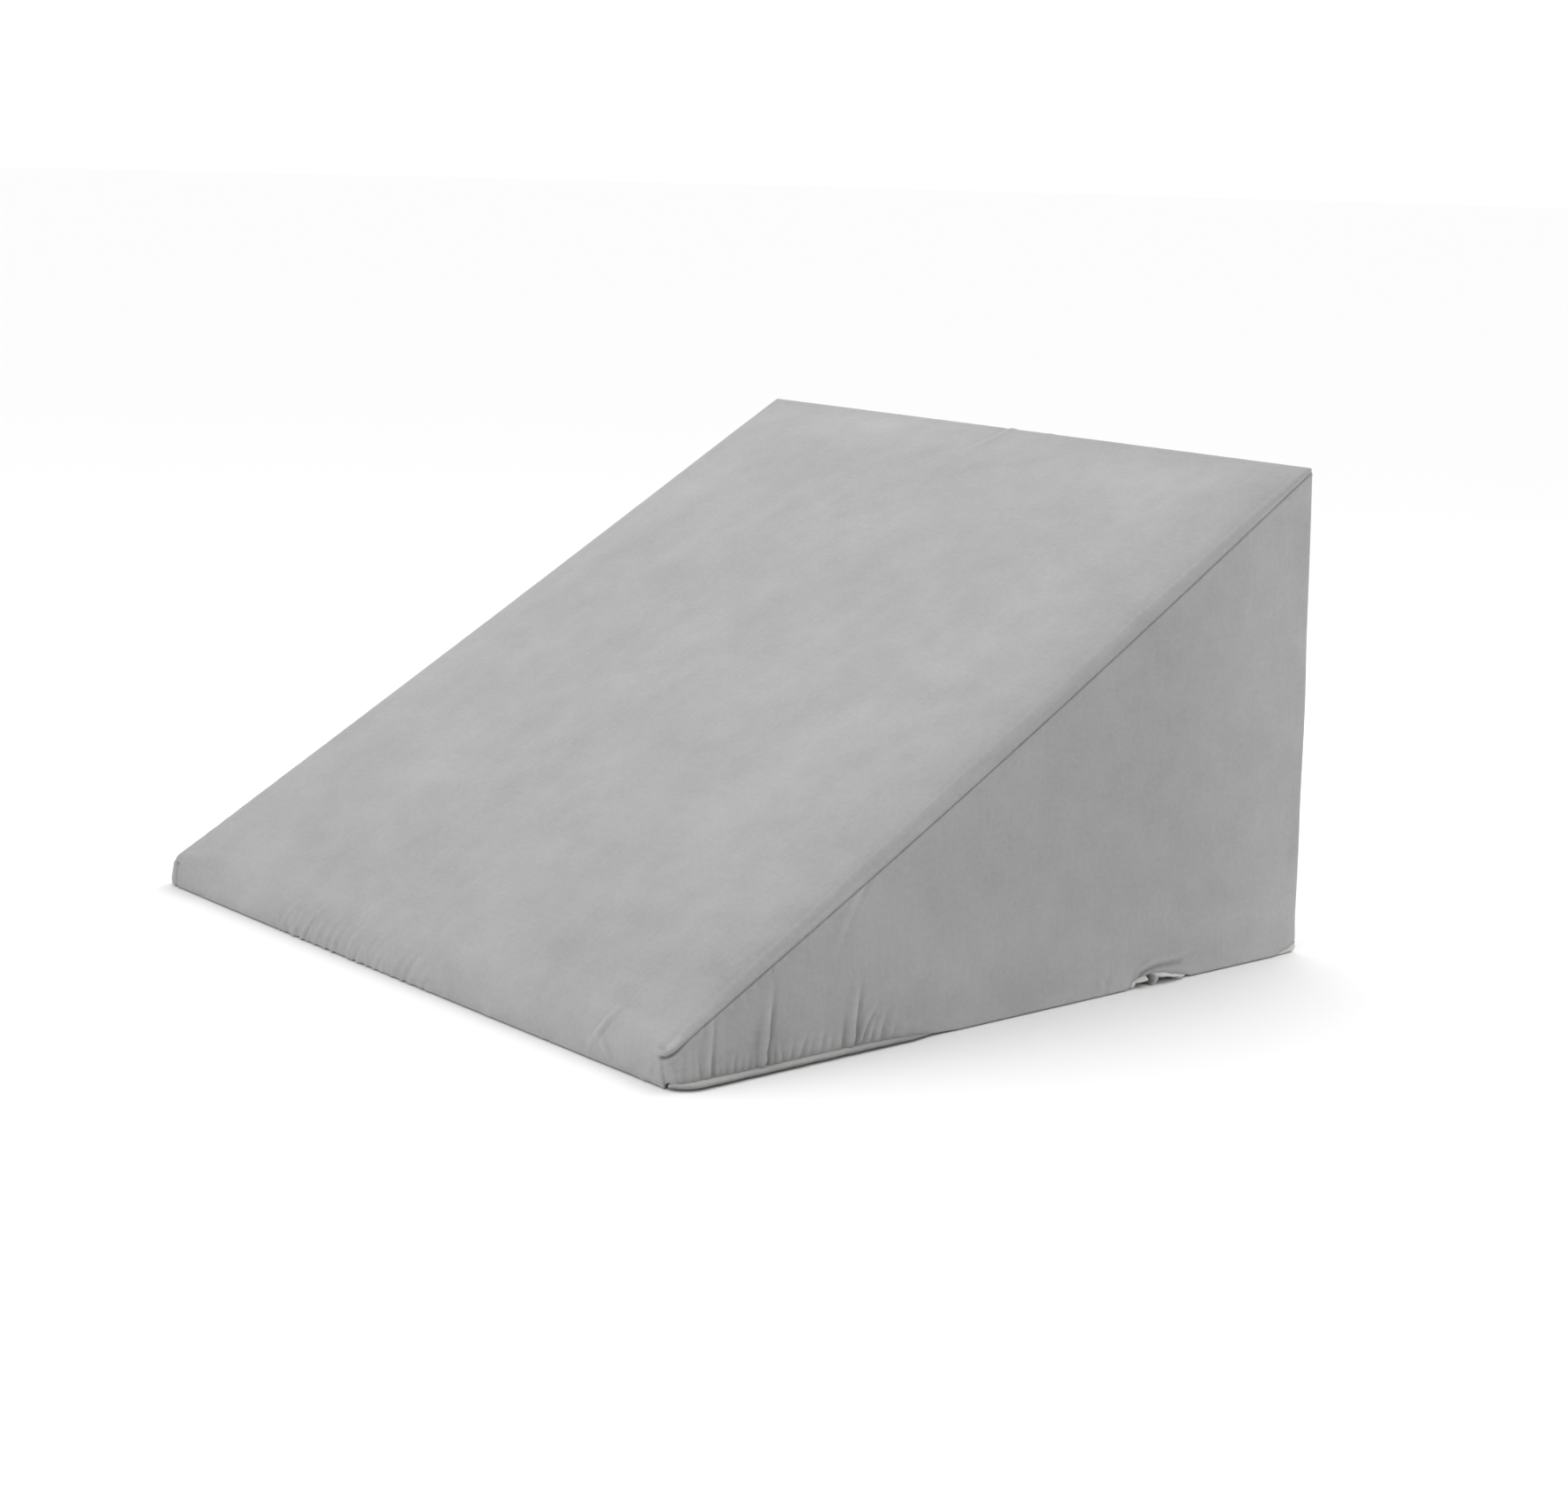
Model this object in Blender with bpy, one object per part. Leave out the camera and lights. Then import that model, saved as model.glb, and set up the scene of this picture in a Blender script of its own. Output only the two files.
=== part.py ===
# Wedge pillow: a filled cushion with a 30 degree slope and a cloth panel under it.
# Metres, +Z up. The origin is on the floor under the middle of the pillow.
# +X runs across the pillow, +Y towards the high back.

import math

import bmesh
import bpy

# Overall sizes of the filled cushion
DEPTH = 0.557             # low front to high back, between the corners
BACK_HEIGHT = 0.3425      # where the slope would meet the back, before their edge is rolled
FRONT_HEIGHT = 0.0235     # where the slope would meet the front, before its edge is rolled
FOOT_FRONT = 0.3103       # half width on the floor at the low front
FOOT_BACK = 0.3000        # half width on the floor at the back
CREST_FRONT = 0.2980      # half width at the slope's edge, low front
CREST_BACK = 0.2900       # half width at the slope's edge, back
FLARE_HEIGHT = 0.012      # the sides spread quickly to the floor below about this height
FLARE_SHARE = 0.5         # share of the whole lean that this spread takes

# Fullness of the filling
SLOPE_CROWN = 0.0065      # rise of the slope's middle over the cloth near its edges
EDGE_RISE = 0.005         # how far that cloth stands over the slope's side edges
EDGE_REACH = 0.034        # how far in from a side it has risen
EDGE_RISE_POWER = 2.2     # over 1 for a rise that is steepest beside the seam
EDGE_FADE_FRONT = 0.070   # the rise fades out over this length towards the low front
EDGE_FADE_BACK = 0.050    # and over this one towards the back
SIDE_BELLY = 0.004        # bulge of each side's middle
END_BOW = 0.0015          # bow of the front and back in plan
BOW_FADE = 4              # how quickly the bow fades out towards the middle of the depth
CROWN_SHOULDER = 0.8      # under 1 for a crown that rises quickly at its ends and is flat along its top

# Rounded edges and corners
CORNER_FRONT_RIGHT = 0.016   # low front corners in plan: the right one is the softer
CORNER_FRONT_LEFT = 0.009
CORNER_BACK = 0.003          # back corners in plan
INSET_REACH = 0.022       # how far in from a wall its insets fade out
ROLL_ENDS = 0.003         # slope cloth rolled over onto the sides, at both ends
ROLL_MIDDLE = 0.008       # the same at half depth
ROLL_NOSE_CORNER = 0.0045 # cloth rolled over the low front edge, beside the corners
ROLL_NOSE_MIDDLE = 0.0120 # the same along the rest of the front
NOSE_CHANGE = 0.060       # how far in from the side the roll reaches its middle radius
ROLL_BACK = 0.003         # top back edge
HALF_RIGHT_ANGLE = 1.0 - math.sqrt(0.5)   # share of a rolled edge that its middle is cut back by

# Seams
SEAM_DEPTH = 0.0015
SEAM_SIDE = 0.0022        # from a seam's bottom out to its lips
SAME_PLACE = 0.0001       # lattice places closer than this are one place
ROLL_ROW = 0.5            # place of the row on a rolled edge, in radii below the slope
UPPER_LIP_ROW = 0.62      # least place of a seam's upper lip, in radii below the slope
UPRIGHT_SEAM_FRONT = 0.007   # upright seams, in from the side on the front face
UPRIGHT_SEAM_BACK = 0.003    # and on the back face
FOOT_SEAM = 0.0036        # height of the seam to the base panel
FOOT_SEAM_FRONT = 0.0062  # the same along the sides at the low front, where the roll under it shows
FRONT_SEAM_RUN = 0.250    # how far back from the low front the higher seam reaches
FRONT_SEAM_FADE = 0.120   # length over which it comes down
FRONT_SEAM_TURN = 0.012   # how far along the front face it reaches

# The base panel and its rolled rim
BASE_THICKNESS = 0.0025
GAP = 0.0003              # kept between the two pieces
UNDERSIDE = BASE_THICKNESS + GAP
RIM_WIDTH = 0.009
RIM_ANGLES = (-90, -50, -10, 30, 60, 90)   # points round the rim's outer side, in degrees
RIM_BACK_OUT = 0.75       # where the rim falls back to the sheet, in half widths in from its top
RIM_BACK_UP = 0.45        # and how high it still is there, as a share of its rise over the sheet
RIM_TOE = 0.001           # how far past its half width the rim runs out into the sheet
RIM_GAP = 0.0004          # between the rim's top and the seam above it
RIM_SHOWS = 0.0015        # how far the rim stands out past the foot where it shows
RIM_HIDDEN = -0.004       # how far it sits back where the side hides it
RIM_CORNER_EXTRA = 0.004  # the rim turns the corners this much more softly
REBATE_TOP = 0.0135       # how far in the underside stays clear of the rim
REBATE_FLOOR = 0.0170     # how far in the flat underside begins

# Gathers in the sides at the low front:
# from the front, half width, height reached, lean back per metre up, how far it stands out
GATHER_COLUMNS = ("place", "spread", "height", "lean", "swell")
GATHERS = (
    (0.029, 0.0034, 0.034, -0.02, 0.0017),
    (0.048, 0.0030, 0.028, 0.05, 0.0011),
    (0.074, 0.0042, 0.062, 0.02, 0.0028),
    (0.094, 0.0034, 0.030, 0.06, 0.0012),
    (0.112, 0.0036, 0.034, 0.10, 0.0014),
    (0.141, 0.0044, 0.056, 0.05, 0.0026),
    (0.163, 0.0036, 0.030, 0.16, 0.0013),
    (0.196, 0.0040, 0.028, 0.18, 0.0010),
)
GATHER_FOOT = 0.006       # height over which a gather fades in above the seam
GATHER_REACH = 0.9        # most of the side's own height that a gather may take up
TROUGH_DEPTH = 0.45       # depth of the trough beside a gather, in its own swells
TROUGH_PLACE = 1.7        # how far behind the gather the trough lies, in half widths

# Puckers in the right side's foot seam:
# from the front, half width, how far the seam is drawn up, how far the cloth above swells
PUCKER_COLUMNS = ("place", "spread", "lift", "swell")
PUCKERS = (
    (0.397, 0.0080, 0.0030, 0.0012),
    (0.416, 0.0120, 0.0068, 0.0030),
    (0.440, 0.0150, 0.0040, 0.0016),
)
PUCKER_HEIGHT = 0.022     # how far up the side a pucker's swelling reaches
PUCKER_SHARES = (-1.9, -1.2, -0.5, 0.0, 0.5, 1.2, 1.9)   # stations across a pucker, in half widths
GATHER_SHARES = (-1.7, -0.7, 0.0, 0.7, 1.7)              # stations across a gather

# Lattice of the cushion's surface
EDGE_COLUMNS = (0.0, 0.003, 0.005, 0.007, 0.009, 0.012, 0.016, 0.034, 0.060)   # in from each side
MIDDLE_COLUMNS = 9
FRONT_STATIONS = (0.0, 0.003, 0.006, 0.009, 0.012, 0.016, 0.022)               # back from the front
BACK_STATIONS = (0.0, 0.003, 0.008, 0.014, 0.030)                              # in from the back
PLAIN_STATION_STEP = 0.026
CLOSEST_STATIONS = 0.0022
MIDDLE_ROWS = 5
RIM_STEP = 0.022          # spacing of the rim's sections along the sides
RIM_STEP_FRONT = 0.044
RIM_STEP_BACK = 0.088
RIM_BACK_TURN = (0.0, 0.003, 0.008)   # closer sections at the back corners
CREASE_ANGLE = 50         # edges bent by more degrees than this look sharp


# Cloths: colour and roughness
COVER_CLOTH = ((0.44, 0.44, 0.44), 0.92)
BASE_CLOTH = ((0.47, 0.47, 0.46), 0.95)


def clear_scene():
    for old in list(bpy.data.objects):
        bpy.data.objects.remove(old, do_unlink=True)


def cloth_material(name, colour, roughness):
    material = bpy.data.materials.new(name)
    material.use_nodes = True
    shader = material.node_tree.nodes["Principled BSDF"]
    shader.inputs["Base Color"].default_value = (*colour, 1.0)
    shader.inputs["Roughness"].default_value = roughness
    shader.inputs["Metallic"].default_value = 0.0
    return material


def table(columns, rows):
    return [dict(zip(columns, row)) for row in rows]


def smooth(value):
    """Ease from 0 to 1 as value goes from 0 to 1."""
    value = min(max(value, 0.0), 1.0)
    return value * value * (3.0 - 2.0 * value)


def hump(distance, spread):
    """A soft ridge of height 1 that is gone at about twice its spread."""
    return math.exp(-(distance / spread) ** 2)


def slope_height(y):
    """Height of the slope's plane above the floor."""
    share = (y + DEPTH / 2) / DEPTH
    return FRONT_HEIGHT + share * (BACK_HEIGHT - FRONT_HEIGHT)


def half_width(y, z):
    """Half the width at a height: a quick flare at the foot, then an even lean."""
    back = min(max((y + DEPTH / 2) / DEPTH, 0.0), 1.0)
    foot = FOOT_FRONT + back * (FOOT_BACK - FOOT_FRONT)
    crest = CREST_FRONT + back * (CREST_BACK - CREST_FRONT)
    flare = 1.0 - math.exp(-max(z, 0.0) / FLARE_HEIGHT)
    lean = z / slope_height(y)
    return foot + (crest - foot) * (FLARE_SHARE * flare + (1.0 - FLARE_SHARE) * lean)


def corner_radius(right, at_front):
    if not at_front:
        return CORNER_BACK
    return CORNER_FRONT_RIGHT if right else CORNER_FRONT_LEFT


def rim_shows(in_from_side, from_front):
    """1 where the rolled rim stands out under the foot seam, 0 where it is hidden."""
    along_side = smooth((FRONT_SEAM_RUN - from_front) / FRONT_SEAM_FADE)
    round_corner = smooth((FRONT_SEAM_TURN - in_from_side) / FRONT_SEAM_TURN)
    return along_side * round_corner


def end_bow(end, y, across_share):
    """How far the front or back bows out in plan."""
    return end * END_BOW * (1.0 - across_share ** 2) * (abs(y) / (DEPTH / 2)) ** BOW_FADE


def edge_rise(in_from_side, in_from_end, at_front):
    """How far the slope's cloth has risen above its side edge."""
    short = 1.0 - min(in_from_side / EDGE_REACH, 1.0)
    fade = EDGE_FADE_FRONT if at_front else EDGE_FADE_BACK
    return EDGE_RISE * (1.0 - short ** EDGE_RISE_POWER) * smooth(in_from_end / fade)


def foot_seam_height(right, in_from_side, from_front):
    """Height of the seam between the cushion and its base panel."""
    height = FOOT_SEAM + (FOOT_SEAM_FRONT - FOOT_SEAM) * rim_shows(in_from_side, from_front)
    if right and in_from_side == 0.0:
        for pucker in table(PUCKER_COLUMNS, PUCKERS):
            height += pucker["lift"] * hump(from_front - pucker["place"], pucker["spread"])
    return height


def corner_turn(in_from_side, in_from_end, radius):
    """How far round a corner a place lies: 0 on the side, 1 on the front or back."""
    if in_from_side >= radius or in_from_end >= radius:
        return 0.0 if in_from_side <= in_from_end else 1.0
    return math.atan2(radius - in_from_end, radius - in_from_side) / (math.pi / 2)


def plan_place(in_from_side, in_from_end, inset, radius):
    """Offsets in from the side and the end, with the corner rounded in plan."""
    across = in_from_side + inset * max(0.0, 1.0 - in_from_side / INSET_REACH)
    along = in_from_end + inset * max(0.0, 1.0 - in_from_end / INSET_REACH)
    edge = min(across, along)
    if across < radius and along < radius:
        u = radius - across
        v = radius - along
        shrink = max(u, v) / math.hypot(u, v)
        across = radius - u * shrink
        along = radius - v * shrink
    return across, along, edge


def roll_radius(in_from_side, from_front, turn, at_front):
    """Radius of the rolled edge between the slope and the walls."""
    side = ROLL_ENDS + (ROLL_MIDDLE - ROLL_ENDS) * math.sin(math.pi * from_front / DEPTH)
    nose_change = smooth(in_from_side / NOSE_CHANGE)
    nose = ROLL_NOSE_CORNER + (ROLL_NOSE_MIDDLE - ROLL_NOSE_CORNER) * nose_change
    end = nose if at_front else ROLL_BACK
    return side + (end - side) * turn


def spaced(near, far, total, step):
    """Places from 0 to total: the near list, even steps, then the far list counted back."""
    start = near[-1]
    stop = total - far[-1]
    count = max(1, round((stop - start) / step))
    middle = [start + (stop - start) * i / count for i in range(1, count)]
    return list(near) + middle + [total - d for d in reversed(far)]


def thinned(places):
    """The places in order, without those that lie too close to the one before."""
    kept = []
    for place in sorted(places):
        if not kept or place - kept[-1] > CLOSEST_STATIONS:
            kept.append(place)
    return kept


def pucker_stations():
    return [
        fold["place"] + fold["spread"] * share
        for fold in table(PUCKER_COLUMNS, PUCKERS)
        for share in PUCKER_SHARES
    ]


def station_places():
    """Places along the depth, closer together at each gather and pucker."""
    wanted = list(FRONT_STATIONS)
    for fold in table(GATHER_COLUMNS, GATHERS):
        wanted += [fold["place"] + fold["spread"] * share for share in GATHER_SHARES]
    wanted += pucker_stations()
    wanted += spaced((FRONT_STATIONS[-1],), BACK_STATIONS, DEPTH, PLAIN_STATION_STEP)
    return thinned(wanted)


class Lattice:
    """The cushion as a box of columns, stations and rows, bent to its real shape."""

    def __init__(self):
        width = 2 * FOOT_FRONT
        middle = width - 2 * EDGE_COLUMNS[-1]
        self.columns = spaced(EDGE_COLUMNS, EDGE_COLUMNS, width, middle / MIDDLE_COLUMNS)
        self.stations = station_places()
        self.row_names = (
            ["underside", "rebate", "foot seam", "foot lip"]
            + ["wall"] * MIDDLE_ROWS
            + ["lower lip", "seam", "upper lip", "roll", "slope"]
        )
        self.last_column = len(self.columns) - 1
        self.last_station = len(self.stations) - 1
        self.last_row = len(self.row_names) - 1

    def row_below_slope(self, row, radius, seam, top):
        """Distance below the slope's plane of a row on a wall."""
        name = self.row_names[row]
        lower_lip = radius + SEAM_SIDE
        foot_lip = top - seam - SEAM_SIDE
        if name == "slope":
            return HALF_RIGHT_ANGLE * radius
        if name == "roll":
            return ROLL_ROW * radius
        if name == "upper lip":
            return max(radius - SEAM_SIDE, UPPER_LIP_ROW * radius)
        if name == "seam":
            return radius
        if name == "lower lip":
            return lower_lip
        if name == "foot lip":
            return foot_lip
        if name == "foot seam":
            return top - seam
        share = (row - self.row_names.index("foot lip")) / (MIDDLE_ROWS + 1)
        return foot_lip + (lower_lip - foot_lip) * share

    def has_seam(self, in_from_side, at_front):
        """The seam under the rolled edge follows both sides and the back, not the nose."""
        return not at_front or in_from_side <= UPRIGHT_SEAM_FRONT

    def place(self, column, station, row):
        """World position of one corner of the lattice."""
        x_share = self.columns[column]
        width = self.columns[-1]
        right = x_share > width / 2
        side = 1.0 if right else -1.0
        in_from_side = width - x_share if right else x_share
        from_front = self.stations[station]
        at_front = from_front < DEPTH / 2
        end = -1.0 if at_front else 1.0
        in_from_end = from_front if at_front else DEPTH - from_front
        corner = corner_radius(right, at_front)
        turn = corner_turn(in_from_side, in_from_end, corner)
        radius = roll_radius(in_from_side, from_front, turn, at_front)
        seam = foot_seam_height(right, in_from_side, from_front)
        name = self.row_names[row]
        on_side = in_from_side == 0.0
        on_end = in_from_end == 0.0
        flat_y = end * (DEPTH / 2 - in_from_end)
        top = slope_height(flat_y)

        below = 0.0
        inset = HALF_RIGHT_ANGLE * radius
        if name == "underside":
            inset = REBATE_FLOOR
        elif name == "rebate":
            inset = REBATE_TOP
        elif name != "slope":
            below = self.row_below_slope(row, radius, seam, top)
            short = max(radius - below, 0.0)
            inset = radius - math.sqrt(radius ** 2 - short ** 2)
            if name == "foot seam":
                inset += SEAM_DEPTH
            if name == "seam" and self.has_seam(in_from_side, at_front):
                inset += SEAM_DEPTH
        if name not in ("underside", "rebate", "slope") and on_end:
            inset += self.upright_seam(in_from_side, at_front, name)

        across, along, edge = plan_place(in_from_side, in_from_end, inset, corner)
        y = end * (DEPTH / 2 - along)
        top = slope_height(y)
        if name == "underside":
            z = UNDERSIDE
        elif name == "rebate":
            z = seam + GAP
        elif name == "slope":
            short = max(radius - edge, 0.0)
            z = top - (radius - math.sqrt(radius ** 2 - short ** 2))
        else:
            z = max(top - below, seam + (SEAM_SIDE if name != "foot seam" else 0.0))
        half = half_width(y, z)
        edge_columns = EDGE_COLUMNS[-1]
        if in_from_side > edge_columns:
            stretch = (half - edge_columns) / (width / 2 - edge_columns)
            x = side * (width / 2 - across) * stretch
        else:
            x = side * (half - across)
        across_share = min(abs(x) / half, 1.0)

        y += end_bow(end, y, across_share)
        if name == "slope":
            crown = math.sin(math.pi * from_front / DEPTH) ** CROWN_SHOULDER
            z += SLOPE_CROWN * (1.0 - across_share ** 2) * crown
            z += edge_rise(in_from_side, in_from_end, at_front)
        elif on_side and name not in ("underside", "rebate"):
            x += side * self.side_swell(right, from_front, z, seam, top, name)
        return (x, y, z)

    def upright_seam(self, in_from_side, at_front, name):
        """Depth of the upright seams, on the front and back faces beside each corner."""
        if name in ("roll", "upper lip", "seam"):
            return 0.0
        seam_place = UPRIGHT_SEAM_FRONT if at_front else UPRIGHT_SEAM_BACK
        return SEAM_DEPTH if abs(in_from_side - seam_place) < SAME_PLACE else 0.0

    def side_swell(self, right, from_front, z, seam, top, name):
        """How far a side stands out: its belly, its gathers and the right side's puckers."""
        up = min(max((z - seam) / (top - seam), 0.0), 1.0)
        swell = SIDE_BELLY * math.sin(math.pi * from_front / DEPTH) * math.sin(math.pi * up)
        if name in ("foot seam", "seam", "upper lip", "roll"):
            return swell
        above = z - seam
        for fold in table(GATHER_COLUMNS, GATHERS):
            reach = min(fold["height"], GATHER_REACH * (top - seam))
            strength = smooth(above / GATHER_FOOT) * (1.0 - smooth(above / reach))
            offset = from_front - fold["place"] - fold["lean"] * above
            trough = TROUGH_DEPTH * hump(offset - TROUGH_PLACE * fold["spread"], fold["spread"])
            ridge = hump(offset, fold["spread"]) - trough
            swell += fold["swell"] * strength * ridge
        if right:
            for fold in table(PUCKER_COLUMNS, PUCKERS):
                strength = smooth(above / GATHER_FOOT) * (1.0 - smooth(above / PUCKER_HEIGHT))
                offset = from_front - fold["place"]
                swell += fold["swell"] * strength * hump(offset, fold["spread"])
        return swell


def build_cushion():
    """One closed skin over the six faces of the lattice."""
    lattice = Lattice()
    mesh = bmesh.new()
    corners = {}

    def corner(column, station, row):
        key = (column, station, row)
        if key not in corners:
            corners[key] = mesh.verts.new(lattice.place(*key))
        return corners[key]

    def face(*keys):
        mesh.faces.new([corner(*key) for key in keys])

    right = lattice.last_column
    back = lattice.last_station
    high = lattice.last_row
    columns = range(right)
    stations = range(back)
    rows = range(high)
    for i in columns:
        for j in stations:
            face((i, j, high), (i + 1, j, high), (i + 1, j + 1, high), (i, j + 1, high))
    for k in rows:
        for j in stations:
            face((right, j, k), (right, j + 1, k), (right, j + 1, k + 1), (right, j, k + 1))
            face((0, j + 1, k), (0, j, k), (0, j, k + 1), (0, j + 1, k + 1))
        for i in columns:
            face((i, 0, k), (i + 1, 0, k), (i + 1, 0, k + 1), (i, 0, k + 1))
            face((i + 1, back, k), (i, back, k), (i, back, k + 1), (i + 1, back, k + 1))

    rim = [(i, 0, 0) for i in columns]
    rim += [(right, j, 0) for j in stations]
    rim += [(i, back, 0) for i in range(right, 0, -1)]
    rim += [(0, j, 0) for j in range(back, 0, -1)]
    face(*reversed(rim))
    return mesh


def rim_outline():
    """Stops round the foot: side, distance in from it, and distance from the front."""
    width = 2 * FOOT_FRONT
    front_turn = EDGE_COLUMNS[:-1]
    across_front = spaced(front_turn, front_turn, width, RIM_STEP_FRONT)
    across_back = spaced(RIM_BACK_TURN, RIM_BACK_TURN, width, RIM_STEP_BACK)
    plain = spaced(FRONT_STATIONS, RIM_BACK_TURN, DEPTH, RIM_STEP)
    along = thinned(plain + pucker_stations())
    stops = [(x, 0.0) for x in across_front[:-1]]
    stops += [(width, y) for y in along[:-1]]
    stops += [(x, DEPTH) for x in reversed(across_back[1:])]
    stops += [(0.0, y) for y in reversed(plain[1:])]
    return stops


def rim_section(height, centre):
    """Section of the rolled rim: (out from the foot line, height), from the floor over the top."""
    reach = RIM_WIDTH / 2
    middle = height / 2
    section = []
    for degrees in RIM_ANGLES:
        angle = math.radians(degrees)
        section.append((centre + reach * math.cos(angle), middle + middle * math.sin(angle)))
    back = BASE_THICKNESS + RIM_BACK_UP * (height - BASE_THICKNESS)
    section.append((centre - RIM_BACK_OUT * reach, back))
    section.append((centre - reach - RIM_TOE, BASE_THICKNESS))
    return section


def build_base_panel():
    """The flat cloth underneath, with its edge rolled up under the foot seam."""
    mesh = bmesh.new()
    width = 2 * FOOT_FRONT
    rings = []
    for x_place, from_front in rim_outline():
        right = x_place > width / 2
        side = 1.0 if right else -1.0
        in_from_side = width - x_place if right else x_place
        at_front = from_front < DEPTH / 2
        end = -1.0 if at_front else 1.0
        in_from_end = from_front if at_front else DEPTH - from_front
        corner = corner_radius(right, at_front) + RIM_CORNER_EXTRA
        seam = foot_seam_height(right, in_from_side, from_front)
        stand_out = RIM_HIDDEN + (RIM_SHOWS - RIM_HIDDEN) * rim_shows(in_from_side, from_front)
        ring = []
        for out, z in rim_section(seam - RIM_GAP, stand_out - RIM_WIDTH / 2):
            across, along, _ = plan_place(in_from_side, in_from_end, -out, corner)
            y = end * (DEPTH / 2 - along)
            half = half_width(y, 0.0)
            x = side * (half - across)
            if in_from_side > INSET_REACH:
                stretch = (half - INSET_REACH) / (width / 2 - INSET_REACH)
                x = side * (width / 2 - in_from_side) * stretch
            y += end_bow(end, y, min(abs(x) / half, 1.0))
            ring.append(mesh.verts.new((x, y, z)))
        rings.append(ring)
    for ring, following in zip(rings, rings[1:] + rings[:1]):
        for k in range(len(ring) - 1):
            mesh.faces.new((ring[k], following[k], following[k + 1], ring[k + 1]))
    mesh.faces.new([ring[-1] for ring in rings])
    mesh.faces.new([ring[0] for ring in reversed(rings)])
    return mesh


def add_piece(name, mesh, material):
    data = bpy.data.meshes.new(name)
    mesh.to_mesh(data)
    mesh.free()
    data.materials.append(material)
    data.shade_smooth()
    data.set_sharp_from_angle(angle=math.radians(CREASE_ANGLE))
    piece = bpy.data.objects.new(name, data)
    bpy.context.scene.collection.objects.link(piece)
    return piece


def main():
    clear_scene()
    cover = cloth_material("grey cotton cover", *COVER_CLOTH)
    underside = cloth_material("pale base cloth", *BASE_CLOTH)
    add_piece("wedge_cushion", build_cushion(), cover)
    add_piece("base_panel", build_base_panel(), underside)


main()
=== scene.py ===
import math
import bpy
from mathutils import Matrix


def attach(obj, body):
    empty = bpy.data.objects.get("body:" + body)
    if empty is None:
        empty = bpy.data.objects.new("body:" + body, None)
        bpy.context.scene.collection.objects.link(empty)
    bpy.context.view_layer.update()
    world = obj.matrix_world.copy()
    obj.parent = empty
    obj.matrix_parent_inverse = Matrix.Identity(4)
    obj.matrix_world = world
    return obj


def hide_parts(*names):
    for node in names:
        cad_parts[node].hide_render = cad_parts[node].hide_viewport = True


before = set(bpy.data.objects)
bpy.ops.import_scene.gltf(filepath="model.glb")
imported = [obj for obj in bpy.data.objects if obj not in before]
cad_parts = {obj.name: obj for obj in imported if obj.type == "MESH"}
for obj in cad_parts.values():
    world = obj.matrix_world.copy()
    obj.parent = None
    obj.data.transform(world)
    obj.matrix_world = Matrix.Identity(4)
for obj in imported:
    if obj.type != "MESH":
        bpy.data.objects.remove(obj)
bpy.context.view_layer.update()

# Wedge pillow: a filled cushion in a plain grey cotton cover, on its pale base cloth.
# Metres, +Z up, +X across the pillow, +Y from the low front to the high back.

from types import SimpleNamespace
import bmesh
import bpy
import numpy as np
from mathutils import Matrix, Vector, kdtree, noise


def clamp(value, low=0.0, high=1.0):
    return min(max(value, low), high)


def smooth(value):
    value = clamp(value)
    return value * value * (3.0 - 2.0 * value)


def hump(offset, width):
    share = offset / width
    return math.exp(-share * share) if abs(share) < 3.2 else 0.0


def mix(a, b, share):
    return a + (b - a) * share


def cloudy(a, b, seed):
    return noise.noise(Vector((a, b, seed)))


# 1 between two places: it fades in after the first and out before the second
def between(at, start, fadeIn, stop, fadeOut):
    return smooth((at - start) / fadeIn) * smooth((stop - at) / fadeOut)


def named(names, table):
    return [dict(zip(names, row)) for row in table]


def addObject(name, data):
    item = bpy.data.objects.new(name, data)
    bpy.context.scene.collection.objects.link(item)
    return item


# Value of a given line of (millimetres from the front, value), at a place in metres
def along(points, place):
    at = place * 1000
    if at <= points[0][0]:
        return points[0][1]
    for (s0, value0), (s1, value1) in zip(points, points[1:]):
        if at <= s1:
            return mix(value0, value1, smooth((at - s0) / (s1 - s0)))
    return points[-1][1]


# The filled cover: its main sizes

cushion = {
    "depth": 0.557,              # low front to high back
    "backHeight": 0.3425,        # of the slope's plane at the back
    "frontHeight": 0.0235,       # and at the low front
    "slopeDegrees": 30,
    "footFront": 0.3103,         # half width on the floor, front and back
    "footBack": 0.3000,
    "crestFront": 0.2980,        # half width at the slope's edge, front and back
    "crestBack": 0.2900,
    "flareHeight": 0.012,        # the sides spread to the floor below this
    "slopeCrown": 0.0045,        # rise of the slope's middle before it is filled
    "sideBelly": 0.0022,
    "cornerBelly": 0.0044,       # of the low front left corner
    "cornerBellyAcross": 0.016,  # how far it reaches along the front, and along the side
    "cornerBellyAlong": 0.090,
    "endBow": 0.0015,
    "backLean": 0.0022,          # the back leans out this much to the floor
    "backBelly": 0.0030,         # and bulges this much, low down
    "backReach": 0.060,          # both fade out this far from the back
    "cornerRight": 0.016,        # low front corners in plan
    "cornerLeft": 0.009,
    "cornerTop": 0.45,           # share of that left at the slope
    "cornerBack": 0.003,
    "rollEnds": 0.003,           # slope cloth rolled over the side, at both ends
    "rollMiddle": 0.008,         # and at half depth
    "rollNoseCorner": 0.0045,    # the same over the low front edge
    "rollNose": 0.0165,
    "noseChange": 0.060,
    "rollBack": 0.003,
    "edgeRise": 0.0052,          # how far the slope stands over its side edges once past them
    "edgeReach": 0.034,          # how far in it has risen
    "edgePower": 2.2,            # and how steeply it starts
    "edgeFadeFront": 0.07,       # the rise fades out this near the two ends
    "edgeFadeBack": 0.05,
    "uprightFront": 0.0070,      # upright seams, in from the side at their tops
    "uprightLean": 0.0055,       # how much further in the front ones are at the floor
    "uprightBack": 0.0030,
    "onFloor": 0.0007,           # height of the cover's lower edge where it hides the rim
    "insetReach": 0.022,         # insets of the lower edge fade out this far round a corner
}

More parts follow.
